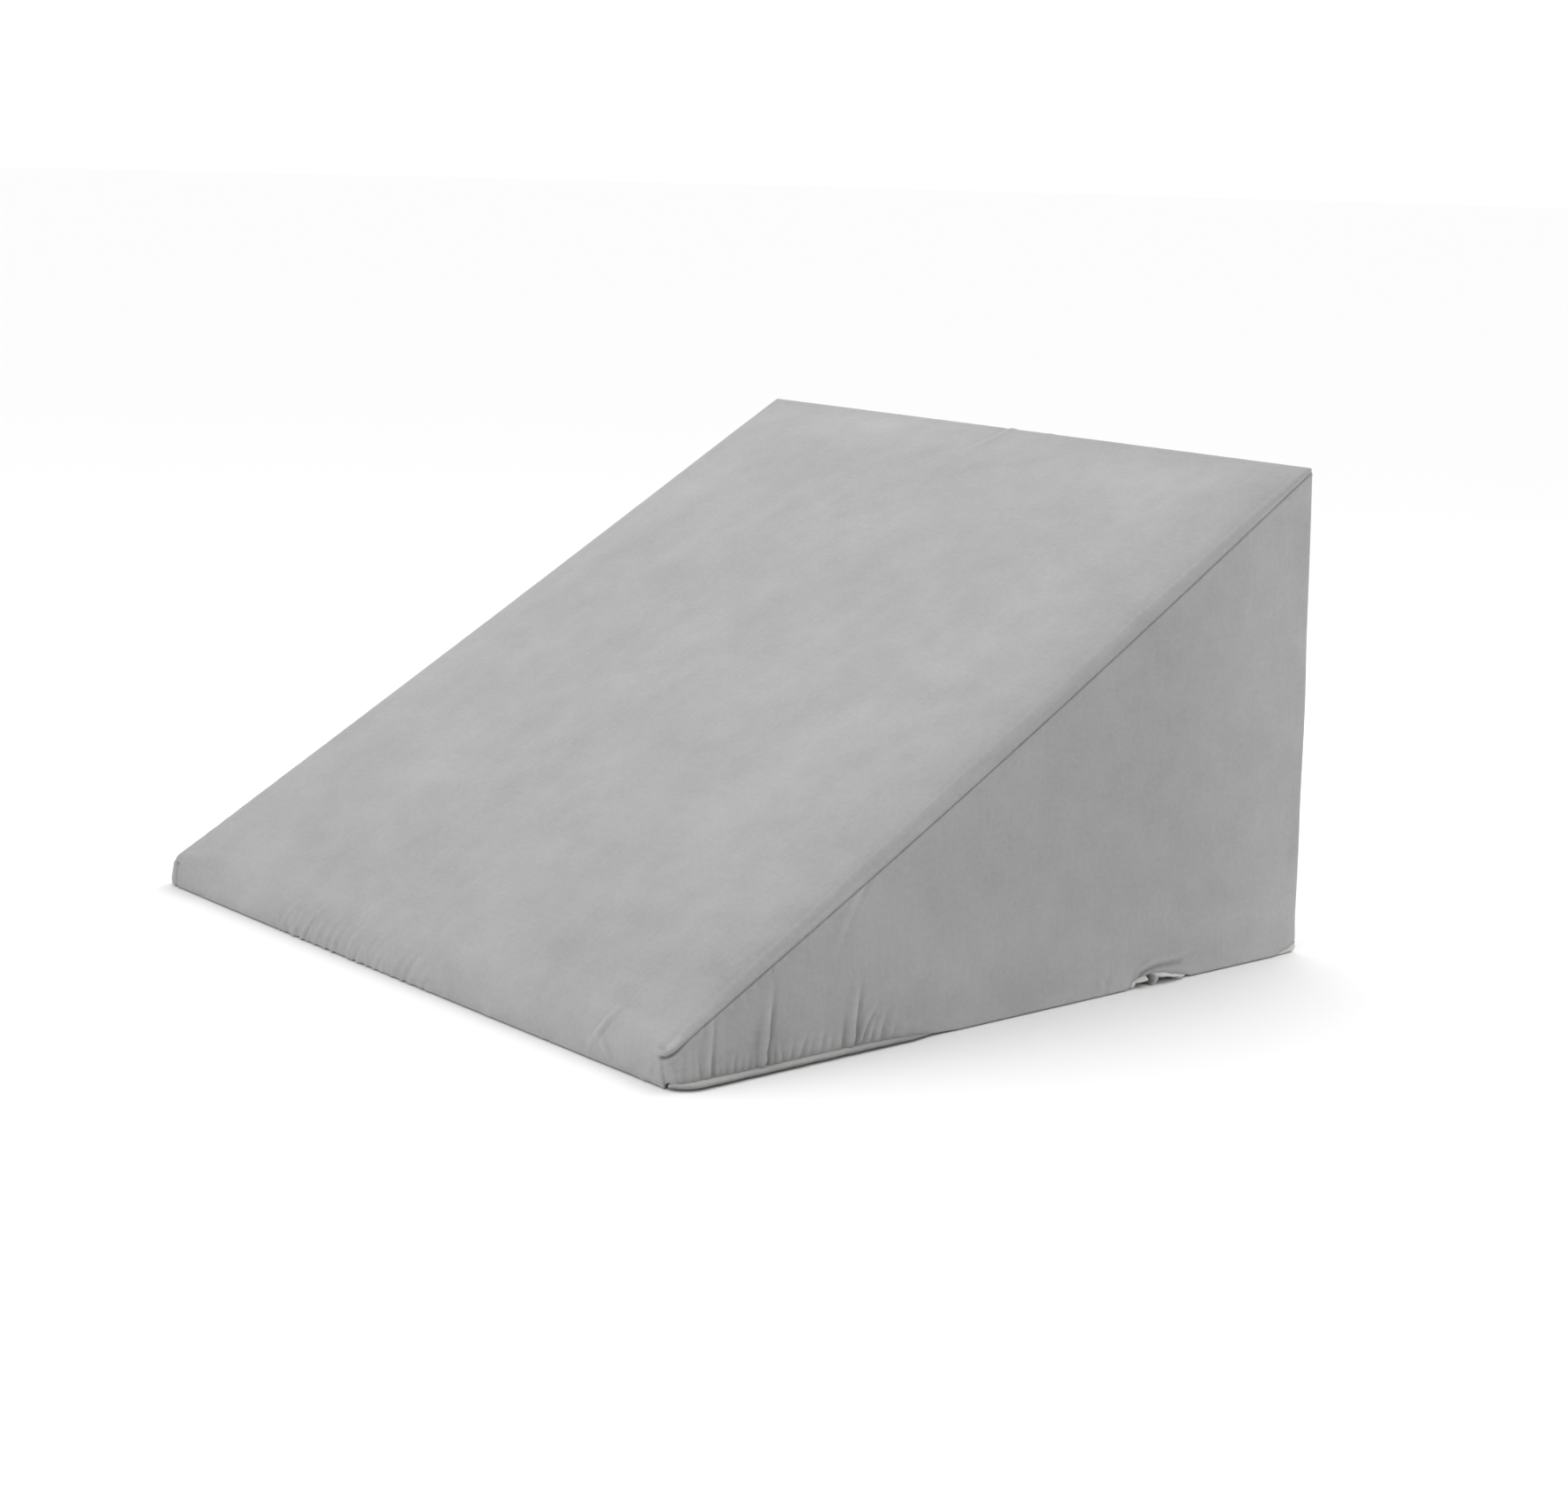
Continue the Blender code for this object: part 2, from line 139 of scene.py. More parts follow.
# Lower edge of the cover: (from the front, height) in millimetres.
# It lifts where the rolled base cloth shows.
footRight = [
    (0, 4.0), (10, 4.4), (22, 4.6), (45, 4.3), (66, 4.3), (92, 4.4), (128, 4.4), (150, 4.2), (168, 3.7),
    (190, 2.8), (212, 1.5), (230, 0.7), (384, 0.7), (393, 5.0), (401, 6.9), (409, 7.7), (420, 6.7),
    (430, 4.2), (440, 2.4), (450, 0.7), (532, 0.7), (545, 3.2), (557, 6.2),
]
footLeft = [
    (0, 0.9), (14, 1.2), (30, 3.0), (52, 4.2), (90, 3.5), (128, 4.6), (160, 4.0), (196, 2.8), (230, 1.2),
    (250, 0.7),
]
# Where the rolled rim shows: (from the front in millimetres, share)
rimRight = [
    (0, 1), (185, 1), (225, 0), (386, 0), (392, 1), (438, 1), (448, 0), (532, 0), (541, 1), (557, 1),
]
rimLeft = [(0, 0), (12, 0), (30, 1), (180, 1), (240, 0)]


def slopeHeight(y):
    share = (y + cushion["depth"] / 2) / cushion["depth"]
    return mix(cushion["frontHeight"], cushion["backHeight"], share)


def halfWidth(y, z):
    back = clamp((y + cushion["depth"] / 2) / cushion["depth"])
    foot = mix(cushion["footFront"], cushion["footBack"], back)
    crest = mix(cushion["crestFront"], cushion["crestBack"], back)
    flare = 1.0 - math.exp(-max(z, 0.0) / cushion["flareHeight"])
    return mix(foot, crest, 0.5 * flare + 0.5 * z / slopeHeight(y))


def cornerRadius(right, atFront):
    if not atFront:
        return cushion["cornerBack"]
    return cushion["cornerRight"] if right else cushion["cornerLeft"]


# How much of a side's foot line is left this far round onto the front or the back
def roundCorner(inSide, fromFront):
    if inSide <= 0.0:
        return 1.0
    if fromFront < cushion["depth"] / 2:
        return smooth((cushion["uprightFront"] + 0.0022 - inSide) / 0.0044)
    return smooth((0.012 - inSide) / 0.012)


def footHeight(right, inSide, fromFront):
    side = along(footRight if right else footLeft, fromFront) / 1000
    return mix(cushion["onFloor"], side, roundCorner(inSide, fromFront))


def rimShowing(right, inSide, fromFront):
    return along(rimRight if right else rimLeft, fromFront) * roundCorner(inSide - 0.0008, fromFront)


# 0 on a side, 1 on the front or the back, and in between round their corner
def cornerTurn(inSide, inEnd, radius):
    if inSide >= radius or inEnd >= radius:
        return 0.0 if inSide <= inEnd else 1.0
    return math.atan2(radius - inEnd, radius - inSide) / (math.pi / 2)


# A place in plan, moved in by its inset and round the corner: from the side, from the end, from the nearer
def planPlace(inSide, inEnd, inset, radius):
    across = inSide + inset * max(0.0, 1.0 - inSide / cushion["insetReach"])
    down = inEnd + inset * max(0.0, 1.0 - inEnd / cushion["insetReach"])
    edge = min(across, down)
    if across < radius and down < radius:
        u = radius - across
        v = radius - down
        shrink = max(u, v) / math.hypot(u, v)
        across = radius - u * shrink
        down = radius - v * shrink
    return across, down, edge


def endBow(end, y, acrossShare):
    return end * cushion["endBow"] * (1.0 - acrossShare ** 2) * (abs(y) / (cushion["depth"] / 2)) ** 4


def backSet(fromBack, up):
    near = smooth(1.0 - fromBack / cushion["backReach"])
    return near * (cushion["backLean"] * (1.0 - up) + cushion["backBelly"] * math.sin(math.pi * up ** 0.7))


# Radius of the roll from the slope over to the wall below it
def rollRadius(inSide, fromFront, turn, atFront):
    middle = math.sin(math.pi * fromFront / cushion["depth"])
    side = mix(cushion["rollEnds"], cushion["rollMiddle"], middle)
    nose = mix(cushion["rollNoseCorner"], cushion["rollNose"], smooth(inSide / cushion["noseChange"]))
    return mix(side, nose if atFront else cushion["rollBack"], turn)


# From 0 on the side edge to 1 a little way in: steepest beside the seam
def edgeRise(inSide):
    left = 1.0 - clamp(inSide / cushion["edgeReach"])
    return 1.0 - left ** cushion["edgePower"]


# The lattice that carries the cover's cloth

def steps(start, stop, step):
    count = max(1, round((stop - start) / step))
    return [start + (stop - start) * i / count for i in range(1, count + 1)]


# Columns run across and stations from the front, close together where folds need them, in millimetres
edgeColumns = [0, 1, 2, 3, 4, 5, 5.8, 6.4, 7, 7.6, 8.2, 9.2, 10.4, 12, 14, 16, 19, 23, 28, 34, 41, 50, 60]
frontStations = [0, 0.7, 1.5, 2.4, 3.4, 4.6, 6, 7.5, 9.2, 11, 13, 15]
backStations = [0, 1.2, 2.4, 3.6, 5, 6.6, 8.4, 10.5, 13, 15.5, 18.5, 22, 26]
fullWidth = 2 * cushion["footFront"]
edgeBand = edgeColumns[-1] / 1000        # columns in this band keep their distance from the side

columns = [c / 1000 for c in edgeColumns]
columns += steps(edgeBand, 0.150, 0.0055)
columns += steps(0.150, 0.352, 0.0026)
columns += steps(0.352, 0.522, 0.0058)
columns += steps(0.522, fullWidth - edgeBand, 0.0022)[:-1]
columns += [fullWidth - c / 1000 for c in reversed(edgeColumns)]
stations = [s / 1000 for s in frontStations]
stations += steps(0.015, 0.176, 0.0014)
stations += steps(0.176, 0.384, 0.0043)
stations += steps(0.384, 0.448, 0.00135)
stations += steps(0.448, cushion["depth"] - 0.026, 0.0045)[:-1]
stations += [cushion["depth"] - s / 1000 for s in reversed(backStations)]

lowRows = 16                     # close together, for the folds at the foot
highRows = 19
lipRows = [0.0042, 0.0026, 0.0015, 0.0009, 0.0004]     # below the slope seam
rollRows = 7
# Rows that turn in under the cover's edge, with how far in each is
footInsets = {
    "underside": 0.0170,
    "rebate": 0.0135,
    "ceiling": 0.0037,
    "skirt inside": 0.0030,
    "skirt edge": 0.0010,
    "skirt outside": 0.0002,
}
rows = list(footInsets) + ["low"] * lowRows + ["high"] * highRows + ["lip"] * len(lipRows) + ["seam"]
rows += ["roll"] * rollRows
lastColumn = len(columns) - 1
lastStation = len(stations) - 1
lastRow = len(rows) - 1
seamRow = rows.index("seam")
firstLow = rows.index("low")


# Which side and end a place of the lattice belongs to, and how far in from them it is
def latticePlace(column, fromFront):
    right = column > fullWidth / 2
    inSide = fullWidth - column if right else column
    atFront = fromFront < cushion["depth"] / 2
    inEnd = fromFront if atFront else cushion["depth"] - fromFront
    return right, inSide, atFront, inEnd


def footRowHeight(kind, foot):
    ceiling = max(foot + 0.0003, 0.0034)
    heights = {
        "underside": 0.0028,
        "rebate": ceiling + 0.0003,
        "ceiling": ceiling,
        "skirt inside": foot + 0.0002,
        "skirt edge": foot,
        "skirt outside": foot + 0.0005,
    }
    return heights[kind]


# Height of a wall row, and how far the rolled edge pulls it in
def wallPlace(row, radius, foot, top):
    seamHeight = top - radius
    lipBottom = seamHeight - lipRows[0]
    lowBottom = min(foot + 0.0014, lipBottom - 0.001)
    lowTop = lowBottom + min(0.020, 0.45 * (lipBottom - lowBottom))
    kind = rows[row]
    if kind == "low":
        return mix(lowBottom, lowTop, (row - firstLow) / lowRows), 0.0
    if kind == "high":
        share = (row - firstLow - lowRows) / highRows
        return mix(lowTop, lipBottom, share ** 1.6), 0.0
    if kind == "lip":
        return seamHeight - lipRows[row - firstLow - lowRows - highRows], 0.0
    if kind == "seam":
        return seamHeight, 0.0
    angle = (math.pi / 4) * (row - seamRow) / rollRows
    return seamHeight + radius * math.sin(angle), radius * (1.0 - math.cos(angle))


# One point of the cover before it is filled and folded
def place(i, j, k):
    fromFront = stations[j]
    right, inSide, atFront, inEnd = latticePlace(columns[i], fromFront)
    side = 1.0 if right else -1.0
    end = -1.0 if atFront else 1.0
    corner = cornerRadius(right, atFront)
    turn = cornerTurn(inSide, inEnd, corner)
    radius = rollRadius(inSide, fromFront, turn, atFront)
    foot = footHeight(right, inSide, fromFront)
    kind = rows[k]
    wallTop = slopeHeight(end * (cushion["depth"] / 2 - inEnd))
    if inEnd == 0.0 and atFront and k < lastRow:
        # the columns beside the corner lean with the upright seam
        up = 0.0
        if k >= firstLow:
            up = clamp((wallPlace(k, radius, foot, wallTop)[0] - foot) / (wallTop - radius - foot))
        window = smooth(inSide / cushion["uprightFront"]) * (1.0 - smooth((inSide - 0.008) / 0.030))
        inSide += cushion["uprightLean"] * (1.0 - up) * window
    if kind in footInsets:
        inset = footInsets[kind]
        z = footRowHeight(kind, foot)
    elif k < lastRow:
        z, inset = wallPlace(k, radius, foot, wallTop)
    else:
        inset = radius * (1.0 - math.sqrt(0.5))
    if atFront and k >= firstLow:
        risen = smooth((z - foot) / (wallTop - radius - foot)) if kind in ("low", "high") else 1.0
        corner *= mix(1.0, cushion["cornerTop"], risen)
    across, down, edge = planPlace(inSide, inEnd, inset, corner)
    y = end * (cushion["depth"] / 2 - down)
    top = slopeHeight(y)
    if k == lastRow:
        short = max(radius - edge, 0.0)
        z = top - (radius - math.sqrt(radius ** 2 - short ** 2))
    elif kind in ("high", "lip", "seam", "roll"):
        z += top - wallTop
    half = halfWidth(y, z)
    if inSide > edgeBand:
        x = side * (fullWidth / 2 - across) * (half - edgeBand) / (fullWidth / 2 - edgeBand)
    else:
        x = side * (half - across)
    share = min(abs(x) / half, 1.0)
    y += endBow(end, y, share) + backSet(cushion["depth"] - fromFront, clamp(z / top))
    onSide = inSide == 0.0
    up = clamp((z - foot) / (top - foot))
    middle = math.sin(math.pi * fromFront / cushion["depth"])
    if k == lastRow:
        z += cushion["slopeCrown"] * (1.0 - share ** 2) * middle ** 0.8
        fade = cushion["edgeFadeFront"] if atFront else cushion["edgeFadeBack"]
        z += cushion["edgeRise"] * edgeRise(inSide) * smooth(inEnd / fade)
    elif onSide and k >= firstLow:
        x += side * cushion["sideBelly"] * middle * math.sin(math.pi * up)
    if firstLow <= k < lastRow and not right and (onSide or inEnd == 0.0):
        near = smooth(1.0 - fromFront / cushion["cornerBellyAlong"])
        near *= smooth(1.0 - inSide / cushion["cornerBellyAcross"])
        x -= cushion["cornerBelly"] * near * math.sin(math.pi * up ** 0.6)
    return Vector((x, y, z))


# The cloth's own flat coordinates: the slope's cloth carries on over the nose
def flatPlace(panel, point):
    x, y, z = point
    stretch = math.cos(math.radians(cushion["slopeDegrees"]))
    if panel == "slope":
        return x, y / stretch
    if panel == "side":
        return y, z
    if panel == "front":
        return x, z - cushion["frontHeight"] - cushion["depth"] / 2 / stretch
    return x, z


# The cover as one closed skin, with the lattice place of each of its points
def coverMesh():
    mesh = bmesh.new()
    flat = mesh.loops.layers.uv.new("cloth")
    found = {}

    def point(key):
        if key not in found:
            found[key] = mesh.verts.new(place(*key))
        return found[key]

    def patch(panel, *keys):
        face = mesh.faces.new([point(key) for key in keys])
        face.smooth = True
        for loop in face.loops:
            loop[flat].uv = flatPlace(panel, loop.vert.co)

    def wall(panel, a, b, k):
        patch(panel, (*a, k), (*b, k), (*b, k + 1), (*a, k + 1))

    for i in range(lastColumn):
        for j in range(lastStation):
            patch("slope", (i, j, lastRow), (i + 1, j, lastRow), (i + 1, j + 1, lastRow), (i, j + 1, lastRow))
    for k in range(lastRow):
        for j in range(lastStation):
            wall("side", (lastColumn, j), (lastColumn, j + 1), k)
            wall("side", (0, j + 1), (0, j), k)
        for i in range(lastColumn):
            wall("front", (i, 0), (i + 1, 0), k)
            wall("back", (i + 1, lastStation), (i, lastStation), k)
    rim = [(i, 0, 0) for i in range(lastColumn)]
    rim += [(lastColumn, j, 0) for j in range(lastStation)]
    rim += [(i, lastStation, 0) for i in range(lastColumn, 0, -1)]
    rim += [(0, j, 0) for j in range(lastStation, 0, -1)]
    patch("underside", *reversed(rim))
    mesh.verts.index_update()
    keys = [None] * len(found)
    for key, vert in found.items():
        keys[vert.index] = key
    data = bpy.data.meshes.new("cover")
    mesh.to_mesh(data)
    mesh.free()
    return data, keys


# Folds in the sides. Places in millimetres: from the front, height of each end, lean back per
# millimetre up, half width, how far it stands out, and "top" where the slope seam holds it, not the foot
foldNames = ("place", "low", "high", "lean", "wide", "swell", "held")
foldsRight = named(foldNames, [
    (24.2, 5, 52, 0.25, 2.1, 1.35),
    (66.2, 5, 66, 0.25, 2.5, 2.40),
    (80.0, 6, 24, 0.02, 1.8, 0.80),
    (94.5, 7, 25, 0.60, 2.2, 0.75),
    (138.0, 7, 56, 0.20, 2.6, 2.00),
    (145.5, 8, 34, 0.62, 2.2, 1.00),
    (160.5, 7, 30, 0.45, 2.2, 0.85),
    (42.0, 5, 24, 0.30, 1.7, 0.70),
    (47.8, 5, 19, 0.30, 1.5, 0.55),
    (53.6, 5, 17, 0.35, 1.5, 0.55),
    (60.0, 5, 19, 0.28, 1.7, 0.70),
    (31.5, 5, 15, 0.20, 1.6, 0.45),
    (36.5, 5, 14, 0.24, 1.5, 0.40),
    (73.0, 5, 15, 0.22, 1.7, 0.50),
    (87.5, 6, 19, 0.36, 1.8, 0.50),
    (103.0, 7, 18, 0.40, 1.9, 0.40),
    (111.0, 7, 24, 0.42, 2.2, 0.60),
    (119.5, 7, 20, 0.36, 2.0, 0.45),
    (128.5, 7, 26, 0.30, 2.2, 0.65),
    (152.5, 7, 22, 0.52, 2.0, 0.60),
    (170.5, 6, 24, 0.50, 2.2, 0.55),
    (181.0, 5, 18, 0.55, 2.2, 0.45),
    (193.0, 3, 20, 0.50, 2.6, 0.40),
    (4.5, 8, 26, 0.26, 1.6, 0.50),
    (11.0, 6, 29, 0.22, 1.5, 0.45),
    (17.5, 6, 31, 0.10, 1.7, 0.40),
    (26.0, 24, 38, -0.18, 1.5, 0.50, "top"),
    (33.5, 28, 42, -0.30, 1.5, 0.45, "top"),
    (43.5, 32, 47, -0.47, 1.7, 0.65, "top"),
    (50.5, 36, 50, -0.38, 1.6, 0.50, "top"),
    (60.0, 34, 55, -0.28, 2.0, 0.75, "top"),
    (67.5, 44, 59, -0.16, 1.7, 0.55, "top"),
    (77.4, 50, 66, -0.14, 1.9, 0.65, "top"),
    (91.0, 58, 73, -0.20, 2.2, 0.45, "top"),
    (118.0, 50, 88, 0.60, 3.0, 0.55, "top"),
    (360.5, 4, 27, 0.52, 2.6, 0.85),
    (372.0, 3, 20, 0.60, 2.4, 0.40),
    (384.5, 2, 18, 0.70, 2.2, 0.45),
    (470.0, 1, 22, -0.50, 3.4, 0.35),
])
foldsLeft = named(foldNames, [
    (19.0, 4, 30, 0.18, 2.0, 0.90),
    (33.0, 4, 18, 0.30, 1.7, 0.45),
    (46.0, 4, 52, 0.16, 2.4, 1.80),
    (58.0, 5, 20, 0.34, 1.8, 0.55),
    (71.0, 5, 24, 0.22, 2.0, 0.60),
    (88.0, 5, 33, 0.40, 2.2, 0.80),
    (109.0, 5, 60, 0.12, 2.6, 1.60),
    (121.0, 6, 22, 0.44, 2.0, 0.50),
    (143.0, 5, 28, 0.36, 2.2, 0.75),
    (166.0, 5, 22, 0.50, 2.3, 0.45),
    (187.0, 3, 18, 0.48, 2.4, 0.40),
    (30.0, 26, 41, -0.25, 1.6, 0.50, "top"),
    (64.0, 42, 58, -0.22, 1.9, 0.55, "top"),
    (97.0, 58, 76, 0.30, 2.4, 0.50, "top"),
])
# Small folds over the low front edge: across, from and to along the cloth from the floor, lean,
# half width, and how far it stands out
noseNames = ("place", "low", "high", "lean", "wide", "swell")
noseFolds = named(noseNames, [
    (-44.0, 2, 30, 0.50, 2.6, 0.70),
    (-52.0, 1, 20, 0.60, 2.2, 0.45),
    (-35.0, 6, 34, 0.30, 2.4, 0.35),
    (226.0, 17, 47, 0.23, 2.3, 0.85),
    (238.0, 9, 22, -1.20, 3.2, 0.75),
    (219.0, 4, 30, 0.30, 2.4, 0.35),
    (254.0, 1, 26, 0.40, 2.4, 0.35),
    (276.0, 1, 22, 0.60, 2.2, 0.45),
    (110.0, 1, 26, -0.30, 3.2, 0.40),
    (62.0, 2, 22, 0.20, 3.0, 0.30),
    (172.0, 1, 24, 0.35, 3.0, 0.35),
    (-128.0, 1, 26, -0.40, 3.2, 0.40),
    (-196.0, 1, 24, -0.30, 3.0, 0.35),
    (-262.0, 1, 24, -0.60, 2.6, 0.45),
])
# Creases down the slope from its back seam, in millimetres: across, at how far behind the middle,
# lean per millimetre back, half width, how far it stands out, and where it starts
creaseNames = ("across", "behind", "lean", "wide", "swell", "starts")
backCreases = named(creaseNames, [
    (-14, 250, 0.19, 3.0, 0.75, 238),
    (-19, 250, 0.19, 2.6, -0.45, 238),
    (38, 262, -0.30, 3.0, 0.35, 245),
])
foldHeight = {"side": 2.0, "nose": 1.8}      # folds stand out this many times their swell

# Gathers along the low front's foot, left of its middle: strongest there, and uneven
gathers = {
    "from": -150.0, "to": 40.0, "spacing": 8.6, "uneven": 6.5,
    "lean": 0.50, "reach": 35.0, "wide": 1.8, "swell": 0.48, "leastSwell": 0.12,
}


def gatheredFolds():
    folds = []
    count = round((gathers["to"] - gathers["from"]) / gathers["spacing"])
    for step in range(count + 1):
        vary = cloudy(step * 1.37, 0.5, 51.0)
        other = cloudy(step * 1.71, 4.5, 52.0)
        middle = 1.0 - abs(2.0 * step / count - 0.85)
        swell = gathers["swell"] * (0.65 + 0.55 * max(middle, 0.0) + 0.8 * vary)
        folds.append({
            "place": gathers["from"] + gathers["spacing"] * step + 2 * gathers["uneven"] * vary,
            "low": 1.0 + 2 * other,
            "high": gathers["reach"] * (0.80 + 0.6 * other + 0.25 * middle),
            "lean": gathers["lean"] + 0.3 * other,
            "wide": gathers["wide"],
            "swell": max(swell, gathers["leastSwell"]),
        })
    return folds


# A pinched ridge with a tight trough behind it and a shallow one before it
def foldProfile(offset, wide):
    behind = hump(offset - 1.50 * wide, 0.78 * wide)
    before = hump(offset + 2.10 * wide, 1.20 * wide)
    return hump(offset, 0.92 * wide) - 0.58 * behind - 0.24 * before


def sideFolds(folds, fromFront, z):
    total = 0.0
    s = fromFront * 1000
    h = z * 1000
    for fold in folds:
        offset = s - fold["place"] - fold["lean"] * (h - fold["low"])
        if abs(offset) > 5 * fold["wide"]:
            continue
        share = (h - fold["low"]) / (fold["high"] - fold["low"])
        if fold.get("held") == "top":
            share = 1.0 - share
        if share > 1.0:
            continue
        strength = 1.0 - smooth(share) if share > 0.0 else 1.0
        strength *= 1.0 - 0.35 * cloudy(s * 0.09, h * 0.12, 3.7)
        total += fold["swell"] * strength * foldProfile(offset, fold["wide"])
    return total / 1000


# Folds over the low front edge, in millimetres of swell: up is along the cloth from the floor
def noseRidges(folds, at):
    total = 0.0
    up = 1000 * (0.024 + 1.12 * at.fromFront if at.onTop else at.z)
    for fold in folds:
        offset = at.x * 1000 - fold["place"] - fold["lean"] * (up - fold["low"])
        if abs(offset) < 4 * fold["wide"] and up < fold["high"]:
            share = clamp((up - fold["low"]) / (fold["high"] - fold["low"]))
            strength = (1.0 - smooth(share)) * smooth((up - fold["low"] + 5.0) / 5.0)
            total += fold["swell"] * strength * foldProfile(offset, fold["wide"])
    return total


# The pucker in the right side's foot: lines of (from the front, height) in millimetres
puckerCrease = [(394, 5.6), (400, 8.3), (406, 10.6), (417, 12.0), (433, 11.4), (446, 9.0)]
puckerRidge = [(398, 11.3), (410, 14.0), (421, 14.6), (436, 14.4), (445, 16.4), (456, 20.0)]
pucker = {"crease": -2.5, "ridge": 1.4, "second": -1.1, "lip": 0.9}      # how far each stands out


def puckerFolds(fromFront, z):
    s = fromFront * 1000
    if not 380 < s < 470:
        return 0.0
    h = z * 1000
    shapes = {
        "crease": hump(h - along(puckerCrease, fromFront), 1.3) * between(s, 392, 8, 446, 18),
        "ridge": hump(h - along(puckerRidge, fromFront), 1.9) * between(s, 398, 10, 458, 16),
        "second": hump(h - 15.4 - 0.25 * (s - 402), 1.0) * between(s, 398, 3, 411, 5),
        "lip": hump(h - along(footRight, fromFront) - 1.6, 1.8) * between(s, 390, 8, 444, 10),
    }
    return sum(pucker[name] * shape for name, shape in shapes.items()) / 1000


# Where a point of the cover is, as its folds, seams and soil need it
def pointAt(key, point):
    column, station, row = key
    x, y, z = point
    fromFront = stations[station]
    right, inSide, atFront, inEnd = latticePlace(columns[column], fromFront)
    onTop = row == lastRow
    turn = cornerTurn(inSide, inEnd, cornerRadius(right, atFront))
    radius = rollRadius(inSide, fromFront, turn, atFront)
    return SimpleNamespace(
        x=x, y=y, z=z, row=row, fromFront=fromFront, right=right, inSide=inSide, atFront=atFront, inEnd=inEnd,
        across=columns[column] / fullWidth, onTop=onTop, onSide=inSide == 0.0 and not onTop, radius=radius,
        above=max(z - footHeight(right, inSide, fromFront), 0.0), belowSeam=slopeHeight(y) - radius - z,
    )


seams = {
    "depth": 0.0011,
    "width": 0.00065,
    "uneven": 0.22,
    "cornerDepth": 0.0014,       # deeper by this at the low front right corner
    "uprightDepth": 0.00070,
    "uprightWidth": 0.0012,
    "allowance": 0.0160,         # width of the turned-in cloth that shows as a ridge on the slope
    "allowanceRise": 0.00018,
    # the seam shade is painted shade in the groove, darker where the groove is deeper
    "darkest": 0.0014,           # a groove this deep has the full seam shade
}


# The slope's cloth: broad swells, ripples that run askew, and finer ones up to the seams
def slopeCloth(at):
    held = smooth(min(at.inSide, at.inEnd) / 0.04)
    loose = 0.25 + 0.75 * held
    askew = at.x + 0.22 * at.y
    move = held * (0.00110 * cloudy(at.x * 12, at.y * 9, 1.0) + 0.00060 * cloudy(askew * 30, at.y * 22, 2.0))
    move += loose * 0.00034 * cloudy(askew * 62, at.y * 48, 4.0)
    move += loose * 0.00014 * cloudy((at.x - 0.1 * at.y) * 140, at.y * 105, 5.0)
    fromSeam = at.inSide if at.inEnd > at.inSide or at.atFront else at.inEnd
    if fromSeam < 0.03 and (at.inSide < at.inEnd or not at.atFront):
        within = 1.0 - smooth((fromSeam - seams["allowance"] + 0.0015) / 0.0030)
        move += seams["allowanceRise"] * within
        move += 0.00007 * hump(fromSeam - 0.0045, 0.0012) - 0.00010 * hump(fromSeam - 0.0064, 0.0012)
        move += 0.00016 * cloudy(at.fromFront * 160, fromSeam * 60, 6.0) * smooth(1.0 - fromSeam / 0.03)
    for crease in backCreases:
        begun = smooth((at.y * 1000 - crease["starts"]) / 20)
        if begun > 0.0:
            offset = at.x * 1000 - crease["across"] - crease["lean"] * (at.y * 1000 - crease["behind"])
            move += crease["swell"] / 1000 * begun * hump(offset, crease["wide"])
    return move


# A side's cloth, and how much of its move is folds, which also sets the painted fold shade
def sideCloth(at):
    rising = smooth(at.above / 0.004)
    nearTop = smooth((at.belowSeam + 0.0004) / 0.0022)
    folded = nearTop * sideFolds(foldsRight if at.right else foldsLeft, at.fromFront, at.z)
    move = foldHeight["side"] * folded * (0.35 + 0.65 * rising)
    if at.right:
        move += puckerFolds(at.fromFront, at.z)
    calm = smooth(at.above / 0.012) * smooth(at.belowSeam / 0.010)
    move += calm * 0.00100 * cloudy(at.y * 15, at.z * 10, 11.0 + at.right)
    move += calm * 0.00055 * cloudy((at.y - 0.2 * at.z) * 60, at.z * 13, 12.0 + at.right)
    # upright ripples, stronger towards the low front, and puckers along the foot there
    low = smooth((0.24 - at.fromFront) / 0.06)
    move += nearTop * rising * (0.00020 + 0.00014 * low) * cloudy(at.y * 160, at.z * 20, 14.0 + at.right)
    move += nearTop * rising * (0.00007 + 0.00007 * low) * cloudy(at.y * 330, at.z * 34, 15.0 + at.right)
    puckered = smooth(1.0 - at.above / 0.014)
    move += (0.00012 + 0.00045 * low) * cloudy(at.y * 190, at.z * 12, 16.0 + at.right) * puckered
    # short gathers that hang from the slope seam near the front
    hanging = smooth(at.belowSeam / 0.0015) * smooth(1.0 - at.belowSeam / 0.017)
    hanging *= smooth((0.13 - at.fromFront) / 0.06)
    move += 0.00065 * hanging * cloudy((at.y + 0.30 * at.z) * 260, 0.0, 17.0 + at.right)
    return move, folded


def endCloth(at):
    calm = smooth(at.above / 0.006) if at.atFront else smooth(at.above / 0.010) * smooth(at.belowSeam / 0.012)
    move = calm * 0.00080 * cloudy(at.x * 13, at.z * 10, 21.0 + at.atFront)
    move += calm * 0.00040 * cloudy(at.x * 50, at.z * 14, 22.0)
    move += calm * 0.00015 * cloudy(at.x * 140, at.z * 24, 23.0)
    return move + 0.00010 * cloudy(at.x * 150, 0.0, 24.0) * smooth(1.0 - at.above / 0.008)


